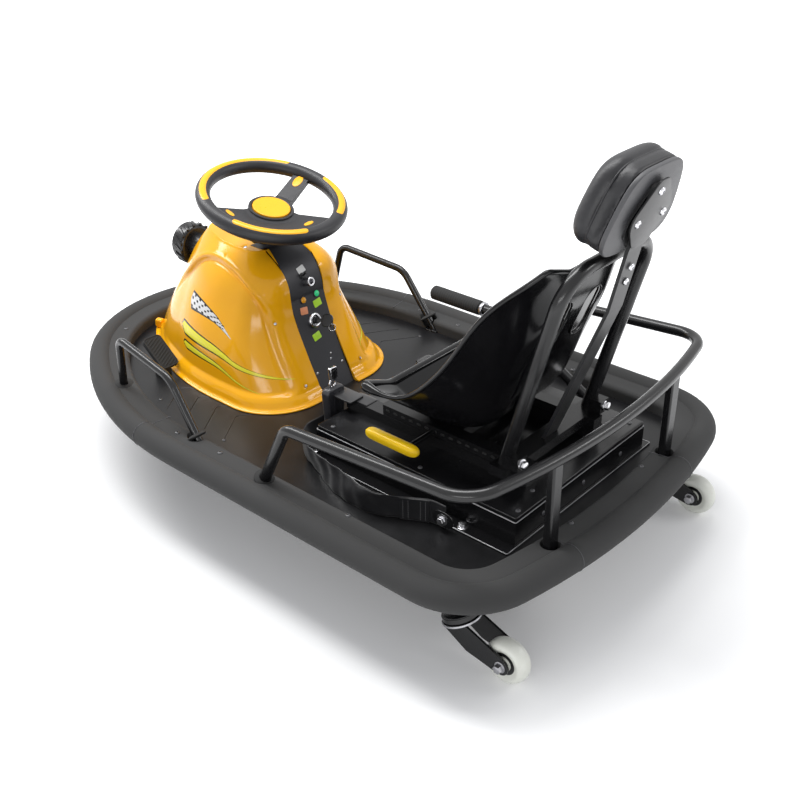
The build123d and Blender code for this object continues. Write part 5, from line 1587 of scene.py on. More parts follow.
@dataclass(frozen=True)
class Webbing:
    """Both belt straps as woven bands with soft folds, the stitched end, its bolt and the buckle.

    Args:
        width: width of the webbing.
        sheet: its thickness.
        left: x and y of the left strap's corners round the seat box.
        right: x and z of the right strap's corners over the slide rails.
        base: height of the left strap's lower edge.
    """

    width: float = 46.0
    sheet: float = 2.4
    left: tuple = ((231.2, 426.0), (231.2, 395.0), (284.4, 304.0), (267.6, 190.0), (232.2, 88.0),
                   (195.0, 61.0), (150.0, 61.0))
    right: tuple = ((114.0, 242.3), (82.0, 242.3), (70.0, 224.4), (-70.0, 224.4), (-82.0, 242.3),
                    (-118.0, 242.3), (-130.0, 224.4), (-198.5, 224.0), (-200.8, 221.0), (-200.8, 194.0))
    base: float = 165.3

    def band(self, centre: np.ndarray, across: np.ndarray, out: np.ndarray, fold: np.ndarray) -> tuple:
        """Cross-sections of a band: a thin loop with rounded edges, shifted by the folds.

        Args:
            centre: middle line, shape (rows, 3).
            across: direction over the width for each row.
            out: direction out of the band for each row.
            fold: shift along out, shape (rows, columns).

        Returns:
            The grid of points, and its length and perimeter.
        """
        columns = fold.shape[1]
        place = np.linspace(-0.5, 0.5, columns) * self.width
        edge = np.sqrt(1.0 - (2 * np.abs(place) / self.width) ** 14)
        half = self.sheet / 2 * np.maximum(edge, 0.15)
        middle = centre[:, None] + across[:, None] * place[None, :, None] + out[:, None] * fold[..., None]
        front = middle + out[:, None] * half[None, :, None]
        back = middle - out[:, None] * half[None, :, None]
        grid = np.concatenate([front, back[:, ::-1]], axis=1)
        length = np.linalg.norm(np.diff(centre, axis=0), axis=1).sum()
        return grid, (length, 2 * self.width)

    def near(self) -> None:
        """The left strap, standing on edge round the seat box; its upper edge leans and its face ripples."""
        line = rounded_path(self.left, 34.0, 3.0)
        ahead = np.gradient(line, axis=0)
        ahead = ahead / np.linalg.norm(ahead, axis=1, keepdims=True)
        out = np.stack([ahead[:, 1], -ahead[:, 0], 0.0 * ahead[:, 0]], -1)
        out = out * np.sign((out[:, :1] * 1.0).sum())
        rows = len(line)
        share = np.linspace(0.0, 1.0, rows)
        centre = np.column_stack([line, np.full(rows, self.base + self.width / 2)])
        free = smooth(share * 6.0 - 0.6) * smooth((1.0 - share) * 8.0)
        place = np.linspace(-0.5, 0.5, 25)
        ripple = 3.4 * np.sin(share[:, None] * 19.0 + 2.4 * place[None]) * np.cos(place * 2.6)[None]
        ripple = ripple + 0.8 * np.sin(share[:, None] * 71.0 - 3.0 * place[None] + 1.0)
        lean = (5.0 * np.sin(share * 9.0 + 0.6))[:, None] * place[None] * 2.0
        grid, size = self.band(centre, np.tile((0.0, 0.0, 1.0), (rows, 1)), out,
                               free[:, None] * (ripple + lean))
        strap = Surface("strap_left").grid(grid, wrap_cols=True, caps=True, uv_size=size)
        strap.build(WEBBING, Body.CHASSIS, "belt_black", ("belt_strap_left",), sharp=70.0)
        patch = Surface("strap_patch")
        keep = slice(int(0.075 * rows), int(0.20 * rows))
        shifted = centre[keep] + out[keep] * 2.3
        fold = (free[:, None] * (ripple + lean))[keep]
        grid, size = self.band(shifted, np.tile((0.0, 0.0, 1.0), (len(shifted), 1)), out[keep], fold)
        patch.grid(grid, wrap_cols=True, caps=True, uv_size=size)
        patch.build(WEBBING, Body.CHASSIS, "belt_black", sharp=70.0)
        stitches = Surface("strap_stitches")
        face = centre[:, None] + out[:, None] * (free[:, None] * (ripple + lean))[..., None]
        face = face + np.array([0.0, 0.0, 1.0]) * (place * self.width)[None, :, None]
        face = face + out[:, None] * (2.3 + self.sheet / 2)
        first, last = keep.start + 2, keep.stop - 3
        for row in (first, first + 3, last - 3, last):
            for column in range(2, 22, 2):
                start, end = face[row, column], face[row, column + 1]
                path = np.stack([start, 0.5 * (start + end) + 0.35 * out[row], end])
                stitches.closed(tube(path, 0.45, out[row], 6))
        stitches.build(THREAD, Body.CHASSIS, "belt_black")
        anchor = Surface("strap_anchor")
        plate = Axes.facing((231.6, 422.0, 184.0), (1.0, 0.0, 0.0), (0.0, 1.0, 0.0))
        anchor.closed(slab(plate, oval(44.0, 30.0, 48, 2.6), 3.0, 1.0))
        anchor.build(POWDER, Body.CHASSIS, "belt_black")
        washer = Surface("strap_bolt")
        bolt(washer, plate.lifted(3.0), 12.0, 11.0)
        washer.build(BRIGHT, Body.CHASSIS, "bright_metal")

    def far(self) -> None:
        """The right strap, lying over both slide rails and down the far side of the box."""
        line = rounded_path(self.right, 7.0, 2.5)
        rows = len(line)
        ahead = np.gradient(line, axis=0)
        ahead = ahead / np.linalg.norm(ahead, axis=1, keepdims=True)
        out = np.stack([ahead[:, 1], 0.0 * ahead[:, 0], -ahead[:, 0]], -1)
        out = out * np.where(out[len(out) // 3, 2] < 0, -1.0, 1.0)
        centre = np.stack([line[:, 0], np.full(rows, 117.0), line[:, 1]], -1)
        share = np.linspace(0.0, 1.0, rows)
        place = np.linspace(-0.5, 0.5, 25)
        ripple = (0.5 + 0.5 * np.sin(share * 26.0)[:, None] * np.cos(place * 5.0)[None]) * 1.2
        grid, size = self.band(centre, np.tile((0.0, 1.0, 0.0), (rows, 1)), out, ripple)
        strap = Surface("strap_right").grid(grid, wrap_cols=True, caps=True, uv_size=size)
        strap.build(WEBBING, Body.CHASSIS, "belt_black", ("belt_strap_right",), sharp=70.0)

    def buckle(self) -> None:
        """The buckle: an upright case with a seam, hook and clip above, bar, ring and tongue below."""
        body = Surface("buckle_body")
        front = Axes.facing((121.0, 49.5, 218.0), (0.0, 1.0, 0.0), (-1.0, 0.0, 0.0))
        outline = rounded_rectangle(42.0, 84.0, 11.0, 12)
        outline = outline * np.column_stack([1.0 + 0.14 * outline[:, 1] / 42.0, np.ones(len(outline))])
        body.closed(slab(front, outline, 20.0, 6.5))
        for x in (-6.5, 7.5):
            path = front.at(np.full(12, x), np.linspace(-34.0, 34.0, 12), 20.0)
            body.closed(tube(path, 1.3, front.z, 8))
        body.build(CASE_COVER, Body.CHASSIS, "buckle_black", ("belt_buckle",), sharp=60.0)
        tongue = Axes.facing((112.0, 86.0, 244.4), (0.0, 0.0, 1.0), (1.0, 0.0, 0.0))
        flap = Surface("buckle_flap")
        flap.closed(slab(tongue, rounded_rectangle(38.0, 58.0, 6.0), 3.6, 1.2))
        flap.build(WEBBING, Body.CHASSIS, "buckle_black", sharp=60.0)
        metal = Surface("buckle_hooks")
        turn = np.linspace(0.0, TAU, 36, endpoint=False)
        for height, radius in ((266.0, 8.0), (168.5, 8.5)):
            hang = front.at(radius * np.cos(turn), height - 218.0 + radius * np.sin(turn), 10.0)
            metal.grid(tube(hang, 1.9, front.z, 12, closed=True), wrap_rows=True, wrap_cols=True)
        clip = Axes.facing((118.0, 55.0, 284.0), (0.0, 1.0, 0.12), (-1.0, 0.0, 0.0))
        metal.closed(slab(clip, rounded_rectangle(17.0, 28.0, 3.0), 8.0, 1.4))
        path = front.at(np.linspace(-15.0, 15.0, 6), -41.5, 10.0)
        metal.closed(tube(path, 3.0, front.z, 14))
        metal.build(BRIGHT, Body.CHASSIS, "bright_metal")
        window = Surface("clip_window")
        window.closed(slab(clip.lifted(7.7), rounded_rectangle(9.0, 17.0, 1.5), 0.8, 0.2))
        window.build(PLASTIC, Body.CHASSIS, "buckle_black")

    def build(self) -> None:
        """Build both straps and the buckle."""
        self.near()
        self.far()
        self.buckle()
        LOG.info("belt built")


@dataclass(frozen=True)
class SlideUnit:
    """Slots in the rails, the glossy slide grip, painted highlight lines along the box's edges and the bolts
    round the seat box.

    Args:
        rail_x: middle of each rail.
        rail_top: top of the lower rails; not used.
        grip: centre, length, height and width of the grip.
        box: half width, front and rear of the seat box.
        lid: bottom and top of the lid.
    """

    rail_x: float = 100.0
    rail_top: float = 242.0
    grip: tuple = ((190.0, 271.0, 254.0), 121.0, 20.0, 21.0)
    box: tuple = (199.0, 92.0, 545.0)
    lid: tuple = (215.0, 223.0)

    def build(self) -> None:
        """Build the slots, the grip, the lid, the painted highlight lines on the edges and the bolts."""
        slots = Surface("rail_slots")
        for side in (1, -1):
            for number in range(17):
                y = 192.0 + 18.5 * number
                face = Axes.facing((side * (self.rail_x + 13.1), y, 252.0), (side, 0.0, 0.0), (0.0, 1.0, 0.0))
                slots.closed(slab(Axes(face.origin - 0.3 * face.z, face.x, face.y, face.z),
                                  rounded_rectangle(9.5, 4.4, 2.0, 4), 0.7, 0.2))
        slots.build(GRIP, Body.SEAT, "bright_metal")
        (x, y, z), length, tall, wide = self.grip
        end = Axes.facing((x, y - length / 2, z), (0.0, 1.0, 0.0), (1.0, 0.0, 0.0))
        place = -np.cos(np.linspace(0.0, math.pi, 40))
        run = length / 2 * (1.0 + place)
        swell = np.maximum((1.0 - np.abs(place) ** 9) ** 0.5, 0.05)
        base = oval(wide, tall, 40, 3.0)
        grid = end.at(base[:, 0] * swell[:, None], base[:, 1] * swell[:, None], run[:, None])
        grip = Surface("slide_grip").closed(grid)
        stem = np.linspace((113.0, 300.0, 251.0), (188.0, 300.0, 251.0), 5)
        piece = grip.build(GRIP_YELLOW, Body.SEAT, "grip_yellow", ("slide_handle",))
        rod = Surface("slide_rod").closed(tube(stem, 5.0, (0.0, 0.0, 1.0), 20))
        rod.build(POWDER, Body.SEAT, "frame_black")
        half, front, rear = self.box
        middle = (front + rear) / 2
        low, high = self.lid
        lid = Surface("box_lid")
        top = Axes.facing((0.0, middle, low), (0.0, 0.0, 1.0))
        lid.closed(slab(top, rounded_rectangle(2 * half, rear - front, 6.0), high - low, 1.8))
        lid.build(BOX_PAINT, Body.CHASSIS, "box_black", ("seat_box_lid",), sharp=60.0)
        # Light grey tubes along the lid's edge and the flange's edge: painted highlight lines.
        edges = Surface("box_edge_highlights")
        for z, grow in ((214.6, 0.2), (168.0, 24.8)):
            outline = rounded_rectangle(2 * (half + grow), rear - front + 2 * min(grow, 3.0), 3.0)
            path = np.column_stack([outline[:, 0], outline[:, 1] + middle, np.full(len(outline), z)])
            edges.grid(tube(path, 0.9, (0.0, 0.0, 1.0), 8, closed=True), wrap_rows=True, wrap_cols=True)
        edges.build(PAINTED_HIGHLIGHT_EDGE, Body.CHASSIS, "box_black")
        bolts = Surface("box_bolts")
        for side in (1, -1):
            for y in (100.0, 447.0):
                bolt(bolts, Axes.facing((side * 211.5, y, 168.0), (0.0, 0.0, 1.0)), 12.0, 9.5)
        bolts.build(BRIGHT, Body.CHASSIS, "bright_metal")
        dark = Surface("box_screws")
        for x in (-120.0, 0.0, 120.0):
            dome_screw(dark, Axes.facing((x, 545.0, 192.0), (0.0, 1.0, 0.0)), 4.6)
        for x, y in ((-178.0, 532.0), (-116.0, 524.0), (116.0, 524.0), (178.0, 540.0)):
            dome_screw(dark, Axes.facing((x, y - 6.0, high), (0.0, 0.0, 1.0)), 4.4)
        for side in (1, -1):
            for y in (120.0, 330.0):
                dome_screw(dark, Axes.facing((side * 184.0, y, high), (0.0, 0.0, 1.0)), 4.4)
        dark.build(DARK_BOLT, Body.CHASSIS, "bright_metal")
        feet = Surface("hoop_bolts")
        for side in (1, -1):
            facing = (side * 0.15, 0.95, 0.1)
            bolt(feet, Axes.facing((side * 126.0, 501.0, 273.0), facing), 13.0, 9.5)
            bolt(feet, Axes.facing((side * 138.0, 488.0, 273.0), (side, 0.0, 0.0)), 11.0, 8.0)
        feet.build(BRIGHT, Body.SEAT, "bright_metal")
        LOG.info("slide unit built %s", piece.name)


@dataclass(frozen=True)
class Deck:
    """Rubber joints and sleeves on the bumper, screws round the deck, scored lines and grommets.

    Args:
        roll: half width, nose y, tail y and height of the roll's centre line.
        nose: radius of the nose, and of the tail's corners and of the tail.
        tube: radius of the roll.
    """

    roll: tuple = (387.0, -648.0, 648.0, 175.0)
    nose: tuple = (300.0, 125.0, 1350.0)
    side_y: float = -100.0
    tube: float = 24.0
    feet: tuple = (
        (301.0, -365.0, 165.0, 8.0, (5.0, 30.0, 140.0)), (337.0, -72.0, 165.0, 8.0, (-3.4, -88.0, 122.0)),
        (350.0, 100.0, 165.0, 10.5, (0.0, 76.0, 151.0)),
    )

    def plan(self, share: np.ndarray) -> tuple[np.ndarray, np.ndarray]:
        """Centre line of the roll's +X half and its outward direction, by share of the way from nose to tail.

        The line is a nose arc, a long flank arc, a straight side, a corner arc and a wide tail arc.

        Args:
            share: places on it, 0 at the nose and 1 at the tail.

        Returns:
            The points and the outward directions.
        """
        half, nose_y, tail_y, _ = self.roll
        nose_r, corner_r, tail_r = self.nose
        centre = nose_y + nose_r
        side_r = (half**2 + (self.side_y - centre) ** 2 - nose_r**2) / (2 * (half - nose_r))
        turn = math.atan2(centre - self.side_y, side_r - half)
        corner_x = half - corner_r
        corner_y = tail_y - tail_r + math.sqrt((tail_r - corner_r) ** 2 - corner_x**2)
        bend = math.atan2(corner_y - tail_y + tail_r, corner_x)
        arcs = (
            (0.0, centre, nose_r, -math.pi / 2, turn),
            (half - side_r, self.side_y, side_r, turn, 0.0),
            None,
            (corner_x, corner_y, corner_r, 0.0, bend),
            (0.0, tail_y - tail_r, tail_r, bend, math.pi / 2),
        )
        lengths = np.array([a[2] * abs(a[4] - a[3]) if a else corner_y - self.side_y for a in arcs])
        stops = np.concatenate([[0.0], np.cumsum(lengths)]) / lengths.sum()
        spots, outs = [], []
        for place in np.atleast_1d(share):
            k = min(int(np.searchsorted(stops, place, side="right")) - 1, 4)
            t = (place - stops[k]) / (stops[k + 1] - stops[k])
            if arcs[k] is None:
                spots.append((half, self.side_y + t * (corner_y - self.side_y)))
                outs.append((1.0, 0.0))
                continue
            x0, y0, radius, a, b = arcs[k]
            angle = a + (b - a) * t
            spots.append((x0 + radius * math.cos(angle), y0 + radius * math.sin(angle)))
            outs.append((math.cos(angle), math.sin(angle)))
        return np.array(spots), np.array(outs)

    def joints(self) -> None:
        """Thin raised seams across the roll and its band, where the ring's lengths meet."""
        seams = Surface("bumper_seams")
        turn = np.linspace(math.radians(-100.0), math.radians(118.0), 40)
        inward = np.linspace(12.0, 59.4, 12)
        for place in (0.36, 0.905):
            (spot,), (out,) = self.plan(np.array([place]))
            for side in (1, -1):
                x = np.concatenate([(self.tube + 0.15) * np.cos(turn), -inward])
                z = np.concatenate([175.0 + (self.tube + 0.15) * np.sin(turn), np.full(12, 190.15)])
                keep = (z > 190.1) | (x > -8.0)
                x, z = x[keep], z[keep]
                path = np.stack([side * (spot[0] + out[0] * x), spot[1] + out[1] * x, z], -1)
                seams.closed(tube(path, 0.7, (-out[1] * side, out[0], 0.0), 8))
        seams.build(SEAM, Body.CHASSIS, "bumper_rubber")

    def sleeves(self) -> None:
        """Rubber sleeves that fill the band's notches round the tubes' feet."""
        rings = Surface("foot_sleeves")
        for x, y, z, radius, lean in self.feet:
            for side in (1, -1):
                facing = np.array(lean) * (side, 1.0, 1.0)
                facing = facing / np.linalg.norm(facing)
                origin = np.array((side * x, y, z)) + facing * 27.0 / facing[2] * 0.97
                axes = Axes.facing(origin, facing)
                rings.grid(lathe(axes, (radius + 0.2, radius + 0.6, radius + 3.2, 16.0, 19.5, 19.8, 16.4,
                                        radius + 0.2), (1.6, 3.4, 3.2, 1.2, 0.2, -1.2, -4.0, -4.0), 36),
                           wrap_rows=True, wrap_cols=True)
        rings.build(GRIP, Body.CHASSIS, "bumper_rubber")

    def deck(self) -> None:
        """Screws along the bumper's band and on the deck, and the pressed lines of the foot well."""
        screws = Surface("deck_screws")
        for x, y in ((346.0, -12.0), (352.0, -127.0), (144.0, -566.0), (335.0, 300.0), (111.0, 594.0)):
            for side in (1, -1):
                dome_screw(screws, Axes.facing((side * x, y, 190.0), (0.0, 0.0, 1.0)), 5.0)
        for x, y in ((287.0, -73.0), (268.0, -290.0), (270.0, 560.0)):
            for side in (1, -1):
                dome_screw(screws, Axes.facing((side * x, y, 165.0), (0.0, 0.0, 1.0)), 3.6)
        screws.build(DARK_BOLT, Body.CHASSIS, "bright_metal")
        lines = Surface("deck_ribs")
        for side in (1, -1):
            for step in range(4):
                shift = (0.0, -58.0 * step)
                corner = [(284.0, -76.0), (212.0, -124.0), (150.0 + 12.0 * step, -78.0 - 4.0 * step)]
                route = rounded_path(np.array(corner) + shift, 8.0, 4.0) * (side, 1.0)
                path = np.column_stack([route, np.full(len(route), 164.6)])
                lines.closed(tube(path, 1.2, (0.0, 0.0, 1.0), 8))
        for number in range(4):
            y = 12.0 + 16.0 * number
            path = np.linspace((-150.0 - 6.0 * number, y, 164.6), (-40.0, y, 164.6), 8)
            lines.closed(tube(path, 1.1, (0.0, 0.0, 1.0), 8))
        lines.build(SHEET, Body.CHASSIS, "deck_black")
        plates = Surface("tube_foot_plates")
        for x, y, z, radius, lean in self.feet:
            for side in (1, -1):
                plate = Axes.facing((side * (x - 1.5 * lean[0] / 10), y, 164.8), (0.0, 0.0, 1.0))
                plates.closed(slab(plate, rounded_rectangle(34.0, 34.0, 6.0), 3.2, 1.0))
        plates.build(POWDER, Body.CHASSIS, "frame_black")

    def build(self) -> None:
        """Build the bumper's and the deck's small pieces."""
        self.joints()
        self.sleeves()
        self.deck()
        LOG.info("deck and bumper dressed")


@dataclass(frozen=True)
class Casters:
    """White wheels with dished hubs, axle nuts, swivel cups and king pins, one set a side.

    Args:
        inset_x: place of each caster.
        axle: y and z of the axle.
        radius: radius of the wheel.
        width: width of the wheel.
        cup: y and z of the swivel cup.
        lean: lean of the swivel, in radians.
    """

    inset_x: float = 304.0
    axle: tuple = (616.0, 40.0)
    radius: float = 40.0
    width: float = 32.0
    cup: tuple = (520.24, 76.81)
    lean: float = math.radians(22.0)

    def build(self) -> None:
        """Build the pieces of both casters."""
        sets = (
            (1, "left", Body.SWIVEL_LEFT, Body.WHEEL_LEFT), (-1, "right", Body.SWIVEL_RIGHT,
            Body.WHEEL_RIGHT),
        )
        half = self.width / 2
        for side, name, swivel, roller in sets:
            x = side * self.inset_x
            hub = Axes.facing((x, *self.axle), (1.0, 0.0, 0.0), (0.0, 1.0, 0.0))
            turn = np.linspace(-math.pi / 2, math.pi / 2, 13)
            rim_r = self.radius - 11.0 + 11.0 * np.cos(turn)
            rim_x = (half - 0.4) * np.sin(turn)
            radius = np.concatenate([[5.3, 12.0, 13.0, 22.0, 27.0], rim_r, [27.0, 22.0, 13.0, 12.0, 5.3]])
            height = np.concatenate([[-half + 0.8, -half + 0.8, -half + 4.6, -half + 4.0, -half + 0.8], rim_x,
                                     [half - 0.8, half - 4.0, half - 4.6, half - 0.8, half - 0.8]])
            wheel = Surface(f"roller_{name}")
            wheel.grid(lathe(hub, radius, height, 72), wrap_rows=True, wrap_cols=True)
            wheel.build(NYLON, roller, "caster_nylon", (f"caster_wheel_{name}",), sharp=50.0)
            covers = Surface(f"roller_covers_{name}")
            for end in (1, -1):
                face = Axes.facing((x + end * (half - 4.2), *self.axle), (end, 0.0, 0.0), (0.0, 1.0, 0.0))
                covers.grid(lathe(face, (20.5, 20.5, 18.0, 14.2, 13.2), (-0.8, 0.5, 1.0, 0.6, -0.6), 40),
                            wrap_rows=True, wrap_cols=True)
            covers.build(PLASTIC, roller, "caster_black")
            nuts = Surface(f"axle_nuts_{name}")
            for end in (1, -1):
                bolt(nuts, Axes.facing((x + end * (half + 6.2), *self.axle), (end, 0.0, 0.0),
                                       (0.0, 1.0, 0.0)), 14.0, 10.0)
            king = Axes.facing((x, *self.cup), (0.0, -math.sin(self.lean), math.cos(self.lean)))
            bolt(nuts, Axes(king.at(0, 0, -5.0), king.x, -king.y, -king.z), 16.0, 11.0)
            nuts.build(ZINC, swivel, "bright_metal")
            rings = Surface(f"swivel_ring_{name}")
            rings.grid(lathe(king, (24.0, 33.2, 34.2, 34.2, 33.2, 24.0), (-4.6, -4.8, -3.8, -0.9, -0.2, -0.2),
                             56), wrap_rows=True, wrap_cols=True)
            rings.build(ZINC, swivel, "caster_black")
            head = Surface(f"swivel_cap_{name}")
            head.grid(lathe(king, (18.0, 30.6, 31.8, 31.8, 26.0, 20.0, 17.0),
                            (1.2, 1.2, 2.2, 9.4, 12.0, 12.6, 12.6), 56), wrap_rows=True, wrap_cols=True)
            top = king.lifted(43.6)
            bolt(head, top, 15.0, 11.0)
            head.build(POWDER, Body.DRIFT, "frame_black")
        LOG.info("casters built")


@dataclass(frozen=True)
class DriveWheel:
    """Tread of the drive tyre, cut by grooves, and the bolts and rings of its hub motor.

    Args:
        centre: middle of the wheel.
        radius: radius of the tyre.
        width: width of the tyre.
        tread: thickness of the tyre.
    """

    centre: tuple = (0.0, -322.5, 100.0)
    radius: float = 100.0
    width: float = 50.0
    tread: float = 22.0

    def build(self) -> None:
        """Build the tyre as one revolved sheet with grooves, and the motor's bolts."""
        hub = Axes.facing(self.centre, (1.0, 0.0, 0.0), (0.0, 1.0, 0.0))
        half = self.width / 2
        angle = np.linspace(0.0, TAU, 288, endpoint=False)
        edge = np.linspace(0.0, math.pi / 2, 8)
        flat = np.linspace(-half + 12.0, half - 12.0, 23)
        shoulder = np.stack([half - 12.0 + 12.0 * np.cos(edge), self.radius - 12.0 + 12.0 * np.sin(edge)], -1)
        profile = np.concatenate([[(half - 0.2, self.radius - self.tread + 0.2)], shoulder,
                                  np.stack([flat[::-1], np.full(23, self.radius)], -1)[1:-1],
                                  (shoulder * (-1.0, 1.0))[::-1],
                                  [(-half + 0.2, self.radius - self.tread + 0.2)]])
        across, radius = profile[:, :1], profile[:, 1:]
        ring = 2.6 * np.exp(-((((np.abs(across) - 7.0)) / 1.3) ** 4))
        slant = np.cos(36.0 * angle[None] + np.abs(across) * 0.22)
        sipe = 2.4 * smooth((slant - 0.82) / 0.1) * (np.abs(across) > 8.5) * (radius > self.radius - 7.0)
        radius = radius - np.maximum(ring * (radius > self.radius - 1.0), sipe)
        tyre = Surface("drive_tread")
        tyre.grid(hub.at(radius * np.cos(angle), radius * np.sin(angle), across + 0.0 * angle),
                  wrap_rows=True, wrap_cols=True)
        tyre.build(TYRE, Body.DRIVE, "tyre_black", ("drive_tyre",), sharp=35.0)
        bolts = Surface("motor_bolts")
        for end in (1, -1):
            face = Axes.facing((end * 31.0, *self.centre[1:]), (end, 0.0, 0.0), (0.0, 1.0, 0.0))
            for number in range(8):
                turn = TAU * number / 8
                spot = face.at(47.0 * math.cos(turn), 47.0 * math.sin(turn), 0.0)
                dome_screw(bolts, Axes(spot, face.x, face.y, face.z), 3.6)
        bolts.build(ZINC, Body.DRIVE, "motor_metal")
        nuts = Surface("fork_nuts")
        for end in (1, -1):
            bolt(nuts, Axes.facing((end * 42.5, *self.centre[1:]), (end, 0.0, 0.0), (0.0, 1.0, 0.0)), 17.0,
                 13.0)
        nuts.build(ZINC, Body.STEERING, "frame_black")
        LOG.info("drive wheel built")


@dataclass(frozen=True)
class LeverGrip:
    """Foam grip with soft rings, its end stop and the bright collar.

    Args:
        start: free end of the grip.
        length: length of the grip.
        radius: radius of the grip.
    """

    start: tuple = (-262.0, -13.0, 300.0)
    length: float = 130.0
    radius: float = 15.5

    def build(self) -> None:
        """Build the grip and the collar."""
        axes = Axes.facing(self.start, (0.0, 1.0, 0.0))
        run = np.linspace(0.0, 1.0, 130)
        turn = smooth(np.minimum(run, 1 - run) / 0.035)
        radius = self.radius * (0.72 + 0.28 * turn) - 0.5 * (0.5 + 0.5 * np.cos(run * TAU * 22)) * turn
        grip = Surface("lever_foam")
        grip.closed(lathe(axes, np.concatenate([[0.1], radius, [11.2]]),
                          np.concatenate([[0.0], run * self.length, [self.length]]), 40))
        grip.build(GRIP, Body.DRIFT, "grip_rubber", ("lever_grip",), sharp=60.0)
        collar = Surface("lever_collar")
        collar.grid(lathe(axes.lifted(self.length + 1.0), (11.2, 14.2, 14.8, 14.8, 14.2, 11.2),
                          (0.0, 0.0, 0.8, 6.2, 7.0, 7.0), 36), wrap_rows=True, wrap_cols=True)
        collar.build(ZINC, Body.DRIFT, "frame_black")
        LOG.info("lever grip built")


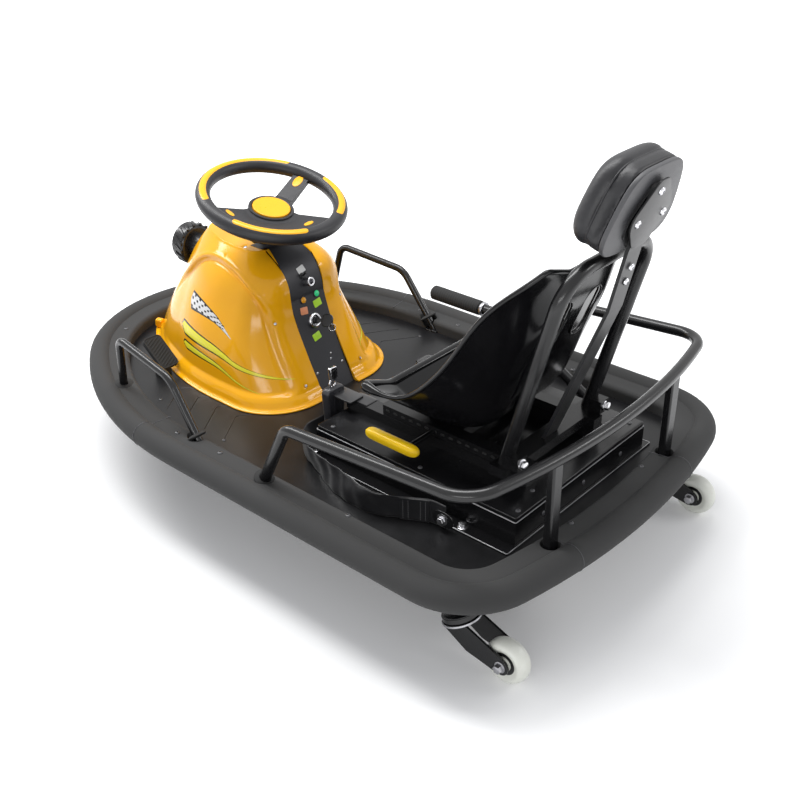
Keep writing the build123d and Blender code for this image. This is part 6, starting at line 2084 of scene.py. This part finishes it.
@dataclass(frozen=True)
class Studio:
    """Camera at the photograph's angle, pale floor and soft lamps.

    Args:
        eye: the camera's place.
        yaw: turn of its view from +Y about Z.
        pitch: how far it looks down.
        roll: its turn about its own view.
        lens: focal length in millimetres.
        glow: how the floor's glow grows with distance from the middle, in metres; the low glow near the
            middle leaves a painted grey shadow round the kart.
        lamps: name, place, aim, size and watts of each lamp.
    """

    eye: tuple[float, float, float] = (1.40387, 1.37474, 1.28150)
    yaw: float = math.radians(-131.765)
    pitch: float = math.radians(29.905)
    roll: float = -0.0133
    lens: float = 50.04
    # Low floor glow near the middle, rising outwards: a painted shadow round the kart.
    glow: tuple = (("From Min", 0.6), ("From Max", 1.7), ("To Min", 0.12), ("To Max", 1.0))
    lamps: tuple = (
        ("overhead", (-0.3, -0.2, 2.7), (0.0, 0.0, 0.2), (1.5, 1.1), 44.0),
        ("roll_strip", (0.3, -1.6, 2.2), (0.2, -0.3, 0.2), (0.5, 2.4), 46.0),
        ("near_strip", (2.1, 1.2, 0.9), (0.0, 0.1, 0.2), (1.6, 0.3), 12.0),
        ("rear_strip", (-1.6, 2.2, 1.7), (0.0, 0.2, 0.4), (1.5, 0.3), 15.0),
    )

    def camera(self) -> None:
        """Create the camera from its yaw, pitch and roll."""
        ahead = Vector((math.cos(self.pitch) * math.sin(self.yaw), math.cos(self.pitch) * math.cos(self.yaw),
                        -math.sin(self.pitch)))
        right = Vector((math.cos(self.yaw), -math.sin(self.yaw), 0.0))
        up = right.cross(ahead)
        side = right * math.cos(self.roll) + up * math.sin(self.roll)
        top = up * math.cos(self.roll) - right * math.sin(self.roll)
        data = bpy.data.cameras.new("camera")
        data.lens = self.lens
        data.sensor_width = 36.0
        camera = bpy.data.objects.new("camera", data)
        turned = Matrix((side, top, -ahead)).transposed().to_4x4()
        camera.matrix_world = Matrix.Translation(Vector(self.eye)) @ turned
        bpy.context.scene.collection.objects.link(camera)
        bpy.context.scene.camera = camera

    def lamp(self, name: str, place: Sequence[float], aim: Sequence[float], size: tuple[float, float],
             power: float) -> None:
        """Add one rectangular soft lamp, turned towards a point.

        Args:
            name: the lamp's name.
            place: where it stands.
            aim: the point that it faces.
            size: its width and length.
            power: its power in watts.
        """
        data = bpy.data.lights.new(name, "AREA")
        data.shape = "RECTANGLE"
        data.size, data.size_y = size
        data.energy = power
        lamp = bpy.data.objects.new(name, data)
        lamp.location = place
        lamp.rotation_euler = (Vector(aim) - Vector(place)).to_track_quat("-Z", "Y").to_euler()
        bpy.context.scene.collection.objects.link(lamp)

    def floor(self) -> None:
        """Make the pale floor, a shallow disc that reads white far out where nothing shades it; near the
        middle its glow is kept low, which paints a grey shadow round the kart.
        """
        angle = np.linspace(0.0, TAU, 96, endpoint=False)
        radius = np.linspace(0.05, 14.0, 12)[:, None]
        points = np.stack([radius * np.cos(angle), radius * np.sin(angle), 0.0 * radius * angle], -1)
        mesh = bpy.data.meshes.new("studio_floor")
        index = np.arange(12 * 96).reshape(12, 96)
        index = np.hstack([index, index[:, :1]])
        quads = np.stack([index[:-1, :-1], index[1:, :-1], index[1:, 1:], index[:-1, 1:]], -1).reshape(-1, 4)
        mesh.from_pydata(points.reshape(-1, 3).tolist(), [], quads.tolist() + [index[0, :-1].tolist()])
        material = bpy.data.materials.new("studio_floor")
        material.use_nodes = True
        tree = material.node_tree
        shader = tree.nodes["Principled BSDF"]
        shader.inputs["Base Color"].default_value = (0.9, 0.9, 0.9, 1.0)
        shader.inputs["Roughness"].default_value = 0.9
        shader.inputs["Specular IOR Level"].default_value = 0.0
        path = tree.nodes.new("ShaderNodeLightPath")
        seen = math_node(tree, "MAXIMUM", path.outputs["Is Camera Ray"], path.outputs["Is Glossy Ray"])
        seen = math_node(tree, "MAXIMUM", seen, path.outputs["Is Transmission Ray"])
        # Glow by distance from the middle: dim near the kart, so a painted grey shadow rings it.
        place = tree.nodes.new("ShaderNodeTexCoord")
        apart = tree.nodes.new("ShaderNodeVectorMath")
        apart.operation = "LENGTH"
        tree.links.new(place.outputs["Object"], apart.inputs[0])
        level = tree.nodes.new("ShaderNodeMapRange")
        level.interpolation_type = "SMOOTHSTEP"
        tree.links.new(apart.outputs["Value"], level.inputs["Value"])
        for label, value in self.glow:
            level.inputs[label].default_value = value
        glow = math_node(tree, "MULTIPLY", seen, level.outputs["Result"])
        shader.inputs["Emission Color"].default_value = (1.0, 1.0, 1.0, 1.0)
        tree.links.new(glow, shader.inputs["Emission Strength"])
        mesh.materials.append(material)
        floor = bpy.data.objects.new("studio_floor", mesh)
        bpy.context.scene.collection.objects.link(floor)
        floor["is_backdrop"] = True

    def light(self) -> None:
        """Set the soft lamps, a plain world and the plain view."""
        scene = bpy.context.scene
        scene.view_settings.view_transform = "Standard"
        world = bpy.data.worlds.new("studio")
        world.use_nodes = True
        tree = world.node_tree
        soft = tree.nodes["Background"]
        soft.inputs["Color"].default_value = (0.93, 0.95, 1.0, 1.0)
        soft.inputs["Strength"].default_value = 0.42
        white = tree.nodes.new("ShaderNodeBackground")
        white.inputs["Color"].default_value = (1.0, 1.0, 1.0, 1.0)
        white.inputs["Strength"].default_value = 1.0
        path = tree.nodes.new("ShaderNodeLightPath")
        seen = math_node(tree, "MAXIMUM", path.outputs["Is Camera Ray"], path.outputs["Is Glossy Ray"])
        seen = math_node(tree, "MAXIMUM", seen, path.outputs["Is Transmission Ray"])
        mix = tree.nodes.new("ShaderNodeMixShader")
        tree.links.new(seen, mix.inputs[0])
        tree.links.new(soft.outputs[0], mix.inputs[1])
        tree.links.new(white.outputs[0], mix.inputs[2])
        tree.links.new(mix.outputs[0], tree.nodes["World Output"].inputs["Surface"])
        scene.world = world
        for lamp in self.lamps:
            self.lamp(*lamp)

    def build(self) -> None:
        """Build the whole studio."""
        self.camera()
        self.floor()
        self.light()


def dress_nodes() -> None:
    """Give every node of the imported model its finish."""
    for finish, names in DRESSING:
        for name in names.split():
            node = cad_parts[name]
            node.data.materials.clear()
            node.data.materials.append(finish.material())


def main() -> None:
    """Build the studio and each sub-assembly in order."""
    logging.basicConfig(level=logging.INFO, format="%(name)s: %(message)s")
    Studio().build()
    dress_nodes()
    LOG.info("dressed %d nodes", sum(len(names.split()) for _, names in DRESSING))
    for part in (Cowl(), SteeringWheel(), ControlPanel(), Headlight(), Pedals(), SeatShell(), Headrest(),
                 Webbing(), SlideUnit(), Deck(), Casters(), DriveWheel(), LeverGrip()):
        part.build()
    boxes = {"cad": CAD_BOX, "visual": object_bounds()}
    {key: [list(map(float, corner)) for corner in value] for key, value in boxes.items()}


if __name__ == "__main__":
    main()
